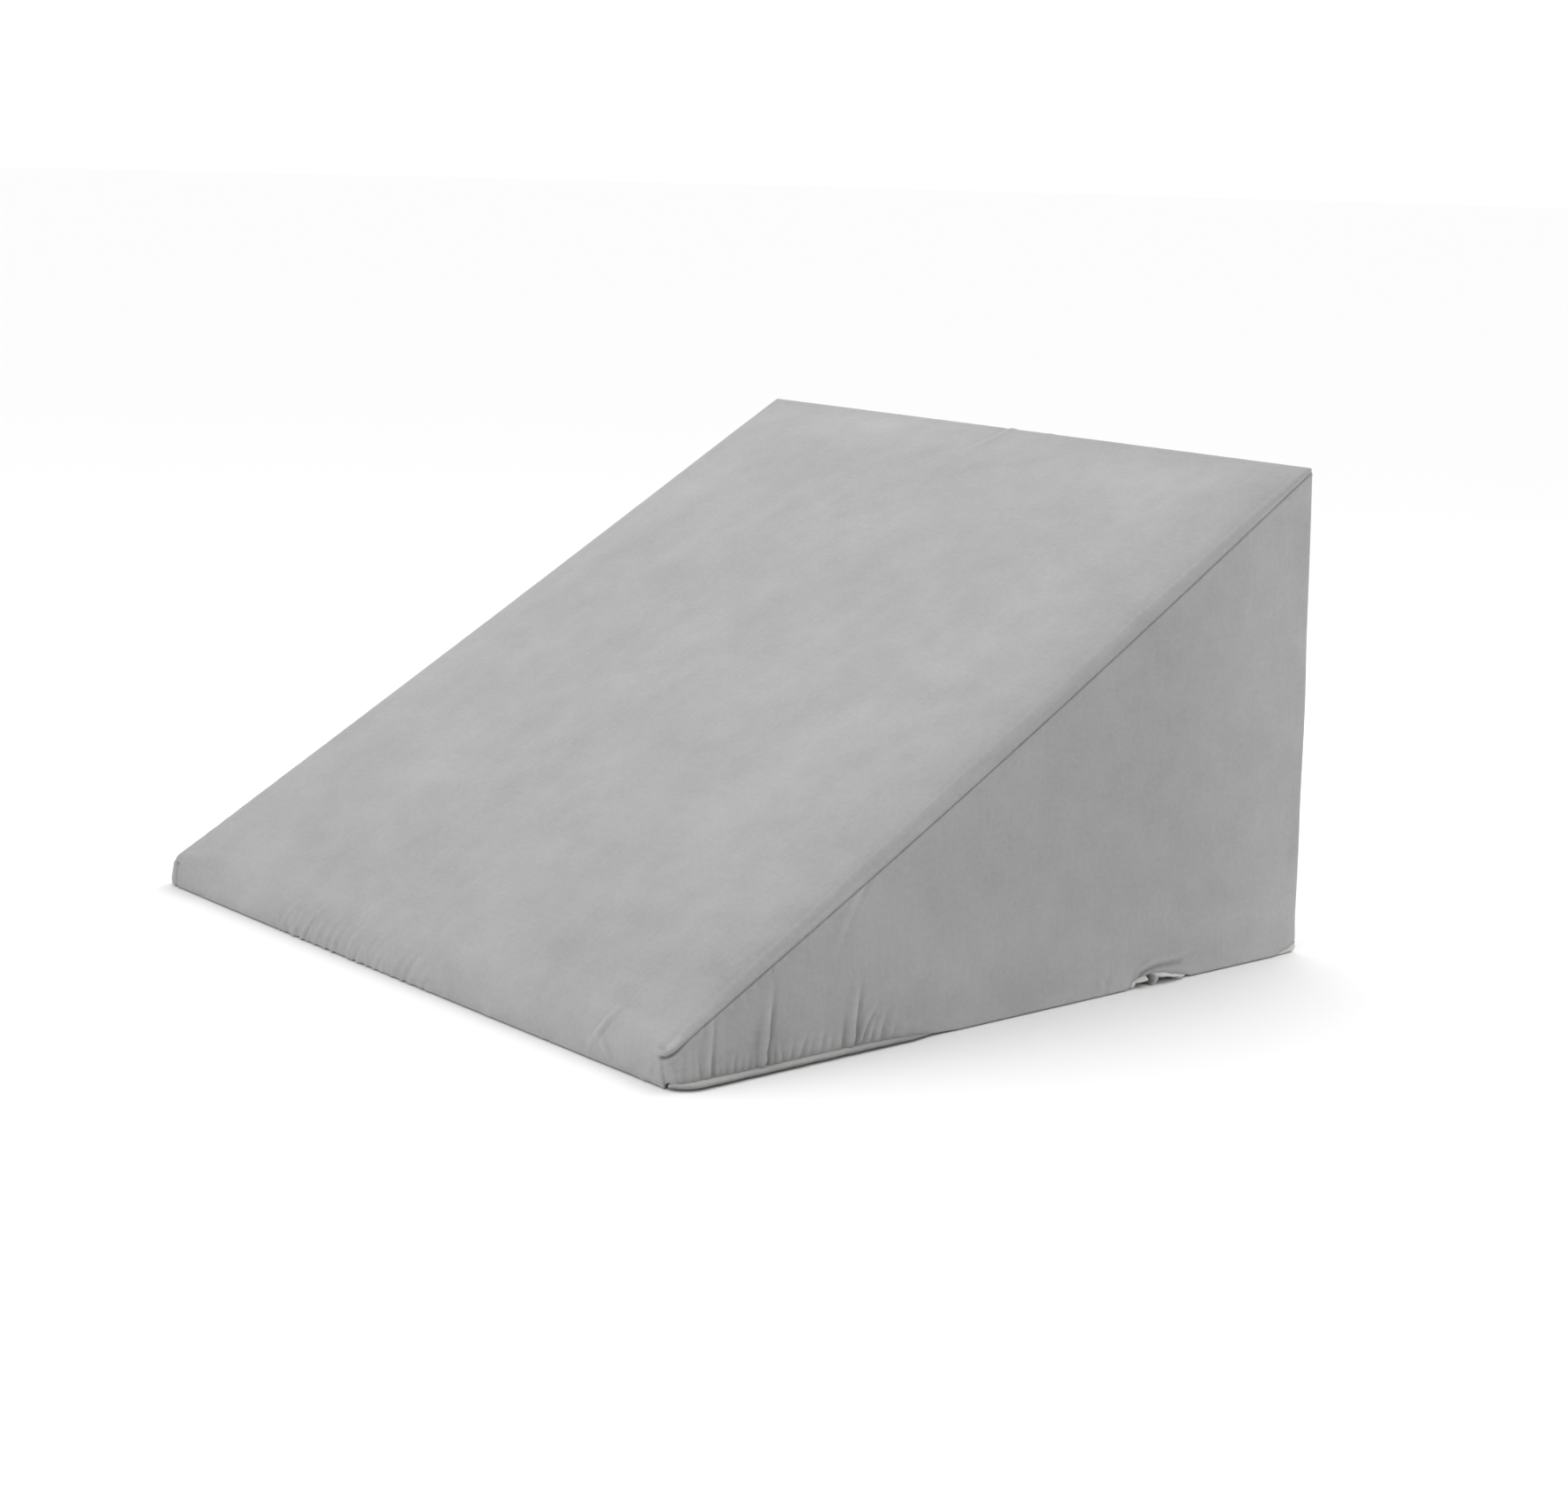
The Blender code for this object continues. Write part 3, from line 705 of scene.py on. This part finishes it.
# How deep the seams draw the cloth in, and how far the cloth beside them stands out
def seamCloth(at):
    groove = 0.0
    beside = 0.0
    nearRight = at.right and at.atFront
    upright = cushion["uprightFront"] if at.atFront else cushion["uprightBack"]
    seamed = not at.atFront or at.inEnd > 0 or at.inSide <= upright + 0.006
    if not at.onTop and seamed and at.row >= firstLow:
        deep = seams["depth"]
        if nearRight and at.inSide < 0.010:
            deep += seams["cornerDepth"] * hump(at.fromFront - 0.001, 0.007)
        if at.atFront and at.inEnd == 0.0:
            deep *= smooth(1.0 - (at.inSide - upright) / 0.0065)
        stitch = 1.0 + seams["uneven"] * cloudy(at.fromFront * 420, at.inSide * 420, 31.0)
        wide = seams["width"] * (deep / seams["depth"]) ** 0.5
        groove += deep * stitch * hump(at.belowSeam, wide)
        nearCorner = hump(at.fromFront, 0.016) if nearRight else 0.0
        beside += (0.00020 + 0.00050 * nearCorner) * hump(abs(at.belowSeam) - 0.0022, 0.0011)
    if not at.onTop and at.inEnd == 0.0 and firstLow - 2 <= at.row <= seamRow:
        groove += seams["uprightDepth"] * hump(at.inSide - upright, seams["uprightWidth"])
        beside += 0.00045 * hump(at.inSide - upright - 0.0030, 0.0016)
    if nearRight and at.row >= seamRow:
        # the small lip at the near end of the slope seam, with a dip behind it
        overSeam = at.inSide + 0.8 * at.radius if at.onTop else -at.belowSeam
        ends = smooth(1.0 - (at.inEnd - 0.002) / 0.017)
        if not at.onTop:
            ends *= smooth(1.0 - (at.inSide - 0.006) / 0.007)
        beside += ends * (0.0007 * hump(overSeam - 0.0030, 0.0019) - 0.0013 * hump(overSeam - 0.0100, 0.0046))
    return groove, beside


# Painted light and shade in the cloth's tone: darker along the slope's side edges (most on the right), over
# the low front, over the sides' front, middle and upper part, just above the foot where the rim shows and at
# the slope's upper right corner; lighter low down at the sides' rear and towards their back
def paintedShadingAt(at):
    paintedEdgeShade = (0.55 if at.right else 0.15) * smooth(1.0 - at.inSide / 0.045)
    paintedEdgeShade += mix(0.10, 0.75, smooth(at.across)) * smooth(1.0 - at.fromFront / 0.23)
    if at.onTop:
        paintedShading = paintedEdgeShade * mix(0.4, 1.0, smooth(at.fromFront / 0.04))
        if not at.atFront:
            paintedShading += 0.8 * smooth(1.0 - at.inEnd / 0.13) * smooth((at.across - 0.3) / 0.4)
        return paintedShading
    if at.onSide:
        paintedShading = smooth((0.22 - at.fromFront) / 0.18)
        paintedShading += 0.5 * hump(at.fromFront - 0.34, 0.10) * smooth(at.above / 0.06)
        paintedShading += 0.5 * smooth((at.above - 0.03) / 0.08) * smooth((at.fromFront - 0.15) / 0.08)
        paintedShading -= smooth((0.075 - at.above) / 0.075) * smooth((at.fromFront - 0.25) / 0.12)
        paintedShading -= 0.7 * smooth((at.fromFront - 0.46) / 0.08)
        # painted shade just above the foot where the rolled rim shows
        return paintedShading + 1.5 * rimShowing(at.right, at.inSide, at.fromFront) * hump(at.above - 0.0010, 0.0016)
    return 0.4 * paintedEdgeShade if at.atFront else 0.0


def vectorsOf(data, kind):
    values = np.empty(len(data.vertices) * 3)
    data.vertices.foreach_get(kind, values)
    return values.reshape(-1, 3)


# Each point moves out or in along its normal: filling, folds, the cloth's unevenness and the seams
def foldCover(data, keys, push):
    places = vectorsOf(data, "co")
    normals = vectorsOf(data, "normal")
    frontFolds = noseFolds + gatheredFolds()
    moves = np.zeros(len(keys))
    # painted shade and light for the cloth's tone: in the seam grooves, on fold crests and in their troughs,
    # and over the panels
    paintedShades = {name: np.zeros(len(keys), dtype=np.float32) for name in ("seam", "crease", "paintedShading")}
    for index, key in enumerate(keys):
        if key[2] < 2:           # the underside stays flat
            continue
        at = pointAt(key, places[index])
        move = push[index]
        # crease: painted highlight on a fold's crest, painted shade in its trough
        crease = 0.0             # above 0 on a fold's crest, below 0 in its trough
        if at.onTop:
            move += slopeCloth(at)
        elif not at.onSide:
            move += endCloth(at)
        elif firstLow - 1 <= at.row <= seamRow + 1:
            side, folded = sideCloth(at)
            move += side
            crease += folded * 1000
        if at.atFront and at.fromFront < 0.06 and not at.onSide:
            nose = noseRidges(frontFolds, at)
            move += foldHeight["nose"] * nose / 1000
            crease += nose
        if at.row >= firstLow and not at.onTop:
            move -= 0.0006 * rimShowing(at.right, at.inSide, at.fromFront) * hump(at.above, 0.0028)
        groove, beside = seamCloth(at)
        moves[index] = move + beside - groove
        # painted shade in the seam grooves, carried to the cloth's tone
        paintedShades["seam"][index] = clamp(groove / seams["darkest"])
        paintedShades["crease"][index] = clamp(crease, -1.0, 1.0)
        paintedShades["paintedShading"][index] = paintedShadingAt(at)
    places += normals * moves[:, None]
    places[:, 2] = np.maximum(places[:, 2], 0.0003)
    data.vertices.foreach_set("co", places.ravel())
    for name, values in paintedShades.items():
        data.attributes.new(name, "FLOAT", "POINT").data.foreach_set("value", values)
    data.update()


# Distance of a point on the pillow from the nearest edge where two of its panels meet
def toEdge(point):
    x, y, z = point
    half = cushion["depth"] / 2
    distances = sorted((
        z,
        (slopeHeight(y) - z) * math.cos(math.radians(cushion["slopeDegrees"])),
        abs(halfWidth(y, z) - x),
        abs(halfWidth(y, z) + x),
        abs(y + half),
        abs(half - y),
    ))
    return distances[1]


filling = {
    "most": 0.0030,              # most that it pushes the cloth out
    "quick": 0.75,               # share of that without the simulation
    "grid": 0.0065,              # of the coarse copy
    "sewn": 0.004,               # the cloth is held this far from an edge
    "loose": 0.022,              # and is free this much further in
    "frames": 20,
    "cloth": {
        "quality": 5,
        "mass": 0.3,
        "tension_stiffness": 12,
        "compression_stiffness": 12,
        "bending_stiffness": 0.6,
        "use_pressure": True,
        "uniform_pressure_force": 4.0,
        "vertex_group_mass": "sewn",
    },
}


# Cloth simulation on a coarse copy: how far the filling pushes each point of the cover
def fill(data):
    coarse = addObject("coarse cover", data.copy())
    remesh = coarse.modifiers.new("even", "REMESH")
    remesh.mode = "VOXEL"
    remesh.voxel_size = filling["grid"]
    graph = bpy.context.evaluated_depsgraph_get()
    even = bpy.data.meshes.new_from_object(coarse.evaluated_get(graph))
    coarse.modifiers.clear()
    coarse.data = even
    start = vectorsOf(even, "co")
    normal = vectorsOf(even, "normal")
    pins = coarse.vertex_groups.new(name="sewn")
    for v in even.vertices:
        held = 1.0 - smooth((toEdge(v.co) - filling["sewn"]) / filling["loose"])
        pins.add([v.index], 1.0 if v.co.z < 0.006 else held, "REPLACE")
    cloth = coarse.modifiers.new("cloth", "CLOTH")
    for key, value in filling["cloth"].items():
        setattr(cloth.settings, key, value)
    cloth.settings.effector_weights.gravity = 0.0
    cloth.collision_settings.use_self_collision = False
    cloth.point_cache.frame_start = 1
    cloth.point_cache.frame_end = filling["frames"]
    for step in range(1, filling["frames"] + 1):
        bpy.context.scene.frame_set(step)
    graph = bpy.context.evaluated_depsgraph_get()
    filled = bpy.data.meshes.new_from_object(coarse.evaluated_get(graph))
    out = ((vectorsOf(filled, "co") - start) * normal).sum(axis=1)
    print("filling pushed the cloth by up to %.1f mm" % (out.max() * 1000))
    out = filling["most"] * np.tanh(out / filling["most"])
    tree = kdtree.KDTree(len(start))
    for index, point in enumerate(start):
        tree.insert(point, index)
    tree.balance()
    push = []
    for v in data.vertices:
        total = 0.0
        weight = 0.0
        for point, index, distance in tree.find_n(v.co, 6):
            near = 1.0 / (distance + 0.002) ** 2
            total += near * out[index]
            weight += near
        push.append(total / weight)
    bpy.data.objects.remove(coarse, do_unlink=True)
    for spare in (even, filled):
        bpy.data.meshes.remove(spare)
    bpy.context.scene.frame_set(1)
    return push


def buildCover():
    data, keys = coverMesh()
    print("cover:", len(data.polygons), "faces")
    foldCover(data, keys, fill(data))
    return addObject("filled_cover", data)


# The flat cloth underneath, with its edge rolled up to the foot seam

baseCloth = {
    "thick": 0.0025,
    "rim": 0.0090,               # width of the rolled edge
    "hidden": -0.0042,           # where the rim ends behind the cover
    "shows": 0.0013,             # and how far it stands out where it shows
    "showsRear": -0.0016,        # the same at the rear corner
    "cornerWider": 0.0035,       # its low front corners are this much rounder than the cover's
    "tuckDepth": 0.0060,         # how far its crumples turn in under the pucker
}
# Crumples under the pucker: from the front, half width, how far out, in millimetres
crumples = [
    (400.0, 3.0, 1.5), (410.2, 1.7, 1.7), (424.0, 9.0, 1.2),
    (393.5, 2.0, -3.0), (405.8, 2.3, -7.0), (414.0, 1.5, -1.8), (440.0, 3.0, -1.0),
]
# painted shade darkens the gap between the crumples
paintedGapShade = {"place": 407.0, "wide": 2.6}       # the dark gap between them


def rimPlaces():
    stops = [(c, 0.0) for c in columns[:-1]]
    stops += [(fullWidth, s) for s in stations[:-1]]
    stops += [(c, cushion["depth"]) for c in reversed(columns[1:])]
    stops += [(0.0, s) for s in reversed(stations[1:])]
    return stops


# Section of the rolled edge at one place: (outwards from the cover's foot, height, painted shade where it
# tucks in)
def rimSection(column, fromFront):
    right, inSide, atFront, inEnd = latticePlace(column, fromFront)
    seen = inSide
    if inEnd == 0.0 and atFront:
        seen -= cushion["uprightLean"] * smooth(inSide / 0.0125)      # as the cover's cloth leans here
    foot = footHeight(right, seen, fromFront)
    showing = rimShowing(right, seen, fromFront)
    top = mix(max(foot + 0.0003, 0.0034) - 0.0004, max(foot + 0.0006, 0.0022), showing)
    middle = 0.70 * top
    s = fromFront * 1000
    rear = smooth((s - 520) / 20)
    wander = column * 90 + fromFront * 90
    out = mix(baseCloth["hidden"], mix(baseCloth["shows"], baseCloth["showsRear"], rear), showing)
    out += 0.0004 * cloudy(wander, 0.0, 41.0) * showing
    crumpled = right and inSide == 0.0
    if crumpled:
        out += sum(much * hump(s - at, wide) for at, wide, much in crumples) / 1000
    reach = baseCloth["rim"] / 2
    centre = out - reach
    section = []
    for step in range(13):
        angle = math.radians(-90 + 15 * step)
        crease = 1.0 + 0.08 * cloudy(wander * 1.6, angle * 1.4, 43.0) * showing
        power = 0.55 if angle > 0 else mix(2.4, 0.5, rear)
        outwards = centre + reach * crease * max(math.cos(angle), 0.0) ** power
        height = middle + (top - middle) * math.sin(angle) if angle > 0 else middle * (1.0 + math.sin(angle))
        paintedTuckShade = 0.0
        if crumpled:
            tucked = between(s, 411, 3, 436, 8) + between(s, 391, 3, 405, 3)
            tucked *= smooth(1.0 - (height / top - 0.52) / 0.24)
            outwards -= baseCloth["tuckDepth"] * tucked
            # painted shade where the crumples tuck in, darkest in the gap between them
            paintedTuckShade = max(0.7 * tucked, hump(s - paintedGapShade["place"], paintedGapShade["wide"]))
        section.append((outwards, height, paintedTuckShade))
    for inwards, risen in ((0.40, 0.86), (0.75, 0.45)):
        section.append((centre - inwards * reach, mix(baseCloth["thick"], top, risen), 0.0))
    section.append((centre - reach - 0.001, baseCloth["thick"], 0.0))
    return section


def rimPoint(column, fromFront, outwards, z):
    right, inSide, atFront, inEnd = latticePlace(column, fromFront)
    side = 1.0 if right else -1.0
    end = -1.0 if atFront else 1.0
    corner = cornerRadius(right, atFront) + (baseCloth["cornerWider"] if atFront else 0.0)
    across, down, _ = planPlace(inSide, inEnd, -outwards, corner)
    y = end * (cushion["depth"] / 2 - down)
    half = halfWidth(y, 0.0)
    x = side * (half - across)
    keep = cushion["insetReach"]
    if inSide > keep:
        x = side * (fullWidth / 2 - inSide) * (half - keep) / (fullWidth / 2 - keep)
    up = clamp(z / slopeHeight(y))
    y += endBow(end, y, min(abs(x) / half, 1.0)) + backSet(cushion["depth"] - fromFront, up)
    return x, y, z


def buildBaseCloth():
    mesh = bmesh.new()
    flat = mesh.loops.layers.uv.new("cloth")
    rings = []
    paintedTuckShades = []
    for column, fromFront in rimPlaces():
        section = rimSection(column, fromFront)
        rings.append([mesh.verts.new(rimPoint(column, fromFront, outwards, z)) for outwards, z, _ in section])
        paintedTuckShades += [paintedTuckShade for _, _, paintedTuckShade in section]
    for ring, following in zip(rings, rings[1:] + rings[:1]):
        for k in range(len(ring) - 1):
            mesh.faces.new((ring[k], following[k], following[k + 1], ring[k + 1]))
    mesh.faces.new([ring[-1] for ring in rings])
    mesh.faces.new([ring[0] for ring in reversed(rings)])
    for face in mesh.faces:
        face.smooth = len(face.verts) == 4
        for loop in face.loops:
            loop[flat].uv = (loop.vert.co.x, loop.vert.co.y + loop.vert.co.z)
    data = bpy.data.meshes.new("base cloth")
    mesh.to_mesh(data)
    mesh.free()
    data.attributes.new("paintedTuckShade", "FLOAT", "POINT").data.foreach_set("value", paintedTuckShades)
    return addObject("laid_base_cloth", data)


# Cloth: a plain weave of uneven yarns, with soft patches and streaks

coverLook = {
    "colour": (0.408, 0.408, 0.407),
    "thread": 0.00046,           # from one thread to the next
    "rough": 0.92,
    "sheen": 0.10,
    "weaveDepth": 0.12,          # millimetres
    # painted shade in the seam grooves and fold troughs, painted highlights on fold crests, and painted light
    # and shade over the panels
    "paintedShades": {"seam": -0.22, "paintedShading": -0.10, "crease": 0.15},      # change of tone at a full shade
}
baseLook = {
    "colour": (0.432, 0.431, 0.421),
    "thread": 0.00042,
    "rough": 0.94,
    "sheen": 0.08,
    "weaveDepth": 0.12,
    "paintedShades": {"paintedTuckShade": -0.80},
    # tone by height: painted shade darkens the rolled edge where it turns under; at the rear it is lighter
    # instead
    "low": {"From Min": 0.0004, "From Max": 0.0046, "To Min": 0.42},
    "rear": {"From Min": 0.085, "From Max": 0.110, "To Max": 1.60},
}
# Share of each texture in the tone, on top of the plain part
plainTone = 0.51
toneShares = {"yarns": 0.22, "cloud": 0.22, "crossing": 0.03, "streaks": 0.17, "patches": 0.15, "grain": 0.18}
bumpShares = {"crossing": 0.55, "yarns": 0.9, "fuzz": 0.25}


def setInputs(node, settings):
    for key, value in settings.items():
        node.inputs[key].default_value = value


def clothMaterial(name, look):
    material = bpy.data.materials.new(name)
    material.use_nodes = True
    tree = material.node_tree
    nodes = tree.nodes
    shader = nodes["Principled BSDF"]
    setInputs(shader, {"Sheen Weight": look["sheen"], "Sheen Roughness": 0.6, "Specular IOR Level": 0.25})

    def maths(operation, a, b=None):
        node = nodes.new("ShaderNodeMath")
        node.operation = operation
        for slot, value in enumerate((a, b)):
            if isinstance(value, (int, float)):
                node.inputs[slot].default_value = value
            elif value is not None:
                tree.links.new(value, node.inputs[slot])
        return node.outputs[0]

    def noiseOf(vector, scale, stretch, detail=2.0):
        mapping = nodes.new("ShaderNodeMapping")
        setInputs(mapping, {"Scale": stretch})
        tree.links.new(vector, mapping.inputs["Vector"])
        texture = nodes.new("ShaderNodeTexNoise")
        setInputs(texture, {"Scale": scale, "Detail": detail})
        tree.links.new(mapping.outputs["Vector"], texture.inputs["Vector"])
        return texture.outputs["Fac"]

    def partsOf(vector):
        node = nodes.new("ShaderNodeSeparateXYZ")
        tree.links.new(vector, node.inputs[0])
        return node.outputs

    def ranged(value, settings):
        node = nodes.new("ShaderNodeMapRange")
        setInputs(node, settings)
        tree.links.new(value, node.inputs["Value"])
        return node.outputs["Result"]

    def summed(shares, start):
        total = start
        for key, share in shares.items():
            total = maths("ADD", total, maths("MULTIPLY", textures[key], share))
        return total

    uv = nodes.new("ShaderNodeUVMap")
    uv.uv_map = "cloth"
    flat = uv.outputs["UV"]
    solid = nodes.new("ShaderNodeTexCoord").outputs["Object"]

    # warp and weft cross over and under, and both wander a little
    drift = maths("MULTIPLY", noiseOf(flat, 60.0, (1, 1, 1)), 3.0)
    warp, weft = (
        maths("SINE", maths("ADD", maths("MULTIPLY", partsOf(flat)[axis], math.pi / look["thread"]), drift))
        for axis in ("X", "Y")
    )
    yarnX = noiseOf(flat, 1.0, (1500, 26, 1), 3.0)
    yarnY = noiseOf(flat, 1.0, (26, 1500, 1), 3.0)
    textures = {
        "crossing": maths("POWER", maths("ABSOLUTE", maths("MULTIPLY", warp, weft)), 0.6),
        "yarns": maths("ADD", maths("MULTIPLY", yarnX, 0.5), maths("MULTIPLY", yarnY, 0.5)),
        "fuzz": noiseOf(solid, 2600.0, (1, 1, 1)),
        "cloud": noiseOf(solid, 11.0, (1, 1, 1), 4.0),
        "streaks": noiseOf(flat, 1.0, (50, 48, 1), 5.0),
        "patches": noiseOf(flat, 1.0, (17, 17, 1), 4.0),
        "grain": noiseOf(flat, 1.0, (270, 260, 1)),
    }
    bump = nodes.new("ShaderNodeBump")
    setInputs(bump, {"Strength": 0.55, "Distance": look["weaveDepth"] / 1000})
    tree.links.new(summed(bumpShares, 0.0), bump.inputs["Height"])
    tree.links.new(bump.outputs["Normal"], shader.inputs["Normal"])

    tone = summed(toneShares, plainTone)
    # painted shade on the base cloth's rolled edge where it turns under, lighter towards the rear
    if "low" in look:
        low = ranged(partsOf(solid)["Z"], look["low"])
        rear = ranged(partsOf(solid)["Y"], look["rear"])
        tone = maths("MULTIPLY", tone, maths("MAXIMUM", low, rear))
    # the painted shade and light from the point attributes multiply the tone
    for shade, change in look["paintedShades"].items():
        node = nodes.new("ShaderNodeAttribute")
        node.attribute_name = shade
        tone = maths("MULTIPLY", tone, maths("ADD", 1.0, maths("MULTIPLY", node.outputs["Fac"], change)))
    colour = nodes.new("ShaderNodeMix")
    colour.data_type = "RGBA"
    setInputs(colour, {"A": (0.0, 0.0, 0.0, 1.0), "B": (*look["colour"], 1.0)})
    colour.clamp_factor = False
    tree.links.new(tone, colour.inputs["Factor"])
    tree.links.new(colour.outputs["Result"], shader.inputs["Base Color"])
    rough = maths("ADD", maths("MULTIPLY", textures["yarns"], 0.08), look["rough"] - 0.04)
    tree.links.new(rough, shader.inputs["Roughness"])
    return material


def dress(piece, node, material):
    piece.data.materials.clear()
    piece.data.materials.append(material)
    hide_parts(node)
    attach(piece, "root")


# Stage: a pale floor, a soft sky that is brightest up on the left behind, and three weak lamps

stageLook = {
    "floor": 0.95,
    "brightest": (-0.62, 0.34, 0.70),
    "sky": {"From Min": -0.75, "From Max": 0.95, "To Min": 0.0, "To Max": 1.37},
}
lamps = {
    "key light": {"place": (0.9, -2.8, 1.1), "target": (0.2, -0.1, 0.10), "size": 0.7, "power": 11.0},
    "rear light": {"place": (1.4, 0.75, 0.30), "target": (0.3, 0.22, 0.10), "size": 0.45, "power": 1.3},
    "overhead light": {"place": (0.0, 0.9, 1.5), "target": (0.0, 0.2, 0.25), "size": 1.2, "power": 5.4},
}


def buildFloor():
    bpy.ops.mesh.primitive_circle_add(vertices=96, radius=30, fill_type="NGON")
    floor = bpy.context.object
    floor.name = "floor"
    material = bpy.data.materials.new("pale floor")
    material.use_nodes = True
    shader = material.node_tree.nodes["Principled BSDF"]
    pale = (stageLook["floor"],) * 3 + (1.0,)
    setInputs(shader, {"Base Color": pale, "Roughness": 1.0, "Specular IOR Level": 0.0})
    floor.data.materials.append(material)


def buildSky():
    world = bpy.data.worlds.new("soft sky")
    bpy.context.scene.world = world
    world.use_nodes = True
    tree = world.node_tree
    sky = tree.nodes["Background"]
    setInputs(sky, {"Color": (1.0, 1.0, 1.0, 1.0)})
    where = tree.nodes.new("ShaderNodeTexCoord")
    towards = tree.nodes.new("ShaderNodeVectorMath")
    towards.operation = "DOT_PRODUCT"
    towards.inputs[1].default_value = Vector(stageLook["brightest"]).normalized()
    spread = tree.nodes.new("ShaderNodeMapRange")
    spread.interpolation_type = "SMOOTHSTEP"
    setInputs(spread, stageLook["sky"])
    tree.links.new(where.outputs["Generated"], towards.inputs[0])
    tree.links.new(towards.outputs["Value"], spread.inputs["Value"])
    tree.links.new(spread.outputs["Result"], sky.inputs["Strength"])
    bpy.context.scene.view_settings.view_transform = "Standard"


def softLight(name, lamp):
    light = bpy.data.lights.new(name, "AREA")
    light.shape = "DISK"
    light.size = lamp["size"]
    light.energy = lamp["power"]
    placed = addObject(name, light)
    placed.location = lamp["place"]
    aim = Vector(lamp["target"]) - Vector(lamp["place"])
    placed.rotation_euler = aim.to_track_quat("-Z", "Y").to_euler()


view = {"turn": 50.16, "rise": 11.32, "roll": 1.52, "lens": 70.536, "place": (1.67718, -1.34586, 0.55950)}


def buildCamera():
    turn, rise, roll = (math.radians(view[key]) for key in ("turn", "rise", "roll"))
    back = Vector((math.sin(turn) * math.cos(rise), -math.cos(turn) * math.cos(rise), math.sin(rise)))
    right = (-back).cross(Vector((0, 0, 1))).normalized()
    up = back.cross(right)
    across = right * math.cos(roll) + up * math.sin(roll)
    upright = -right * math.sin(roll) + up * math.cos(roll)
    lens = bpy.data.cameras.new("view")
    lens.sensor_width = 36.0
    lens.lens = view["lens"]
    camera = addObject("view", lens)
    placed = Matrix((across, upright, back)).transposed().to_4x4()
    placed.translation = view["place"]
    camera.matrix_world = placed
    bpy.context.scene.camera = camera


buildCamera()
cover = buildCover()
print("cover is filled and folded")
dress(cover, "wedge_cushion", clothMaterial("grey cotton", coverLook))
base = buildBaseCloth()
dress(base, "base_panel", clothMaterial("pale cotton", baseLook))
print("base cloth is laid")
buildFloor()
buildSky()
for name, lamp in lamps.items():
    softLight(name, lamp)
print("stage is set")
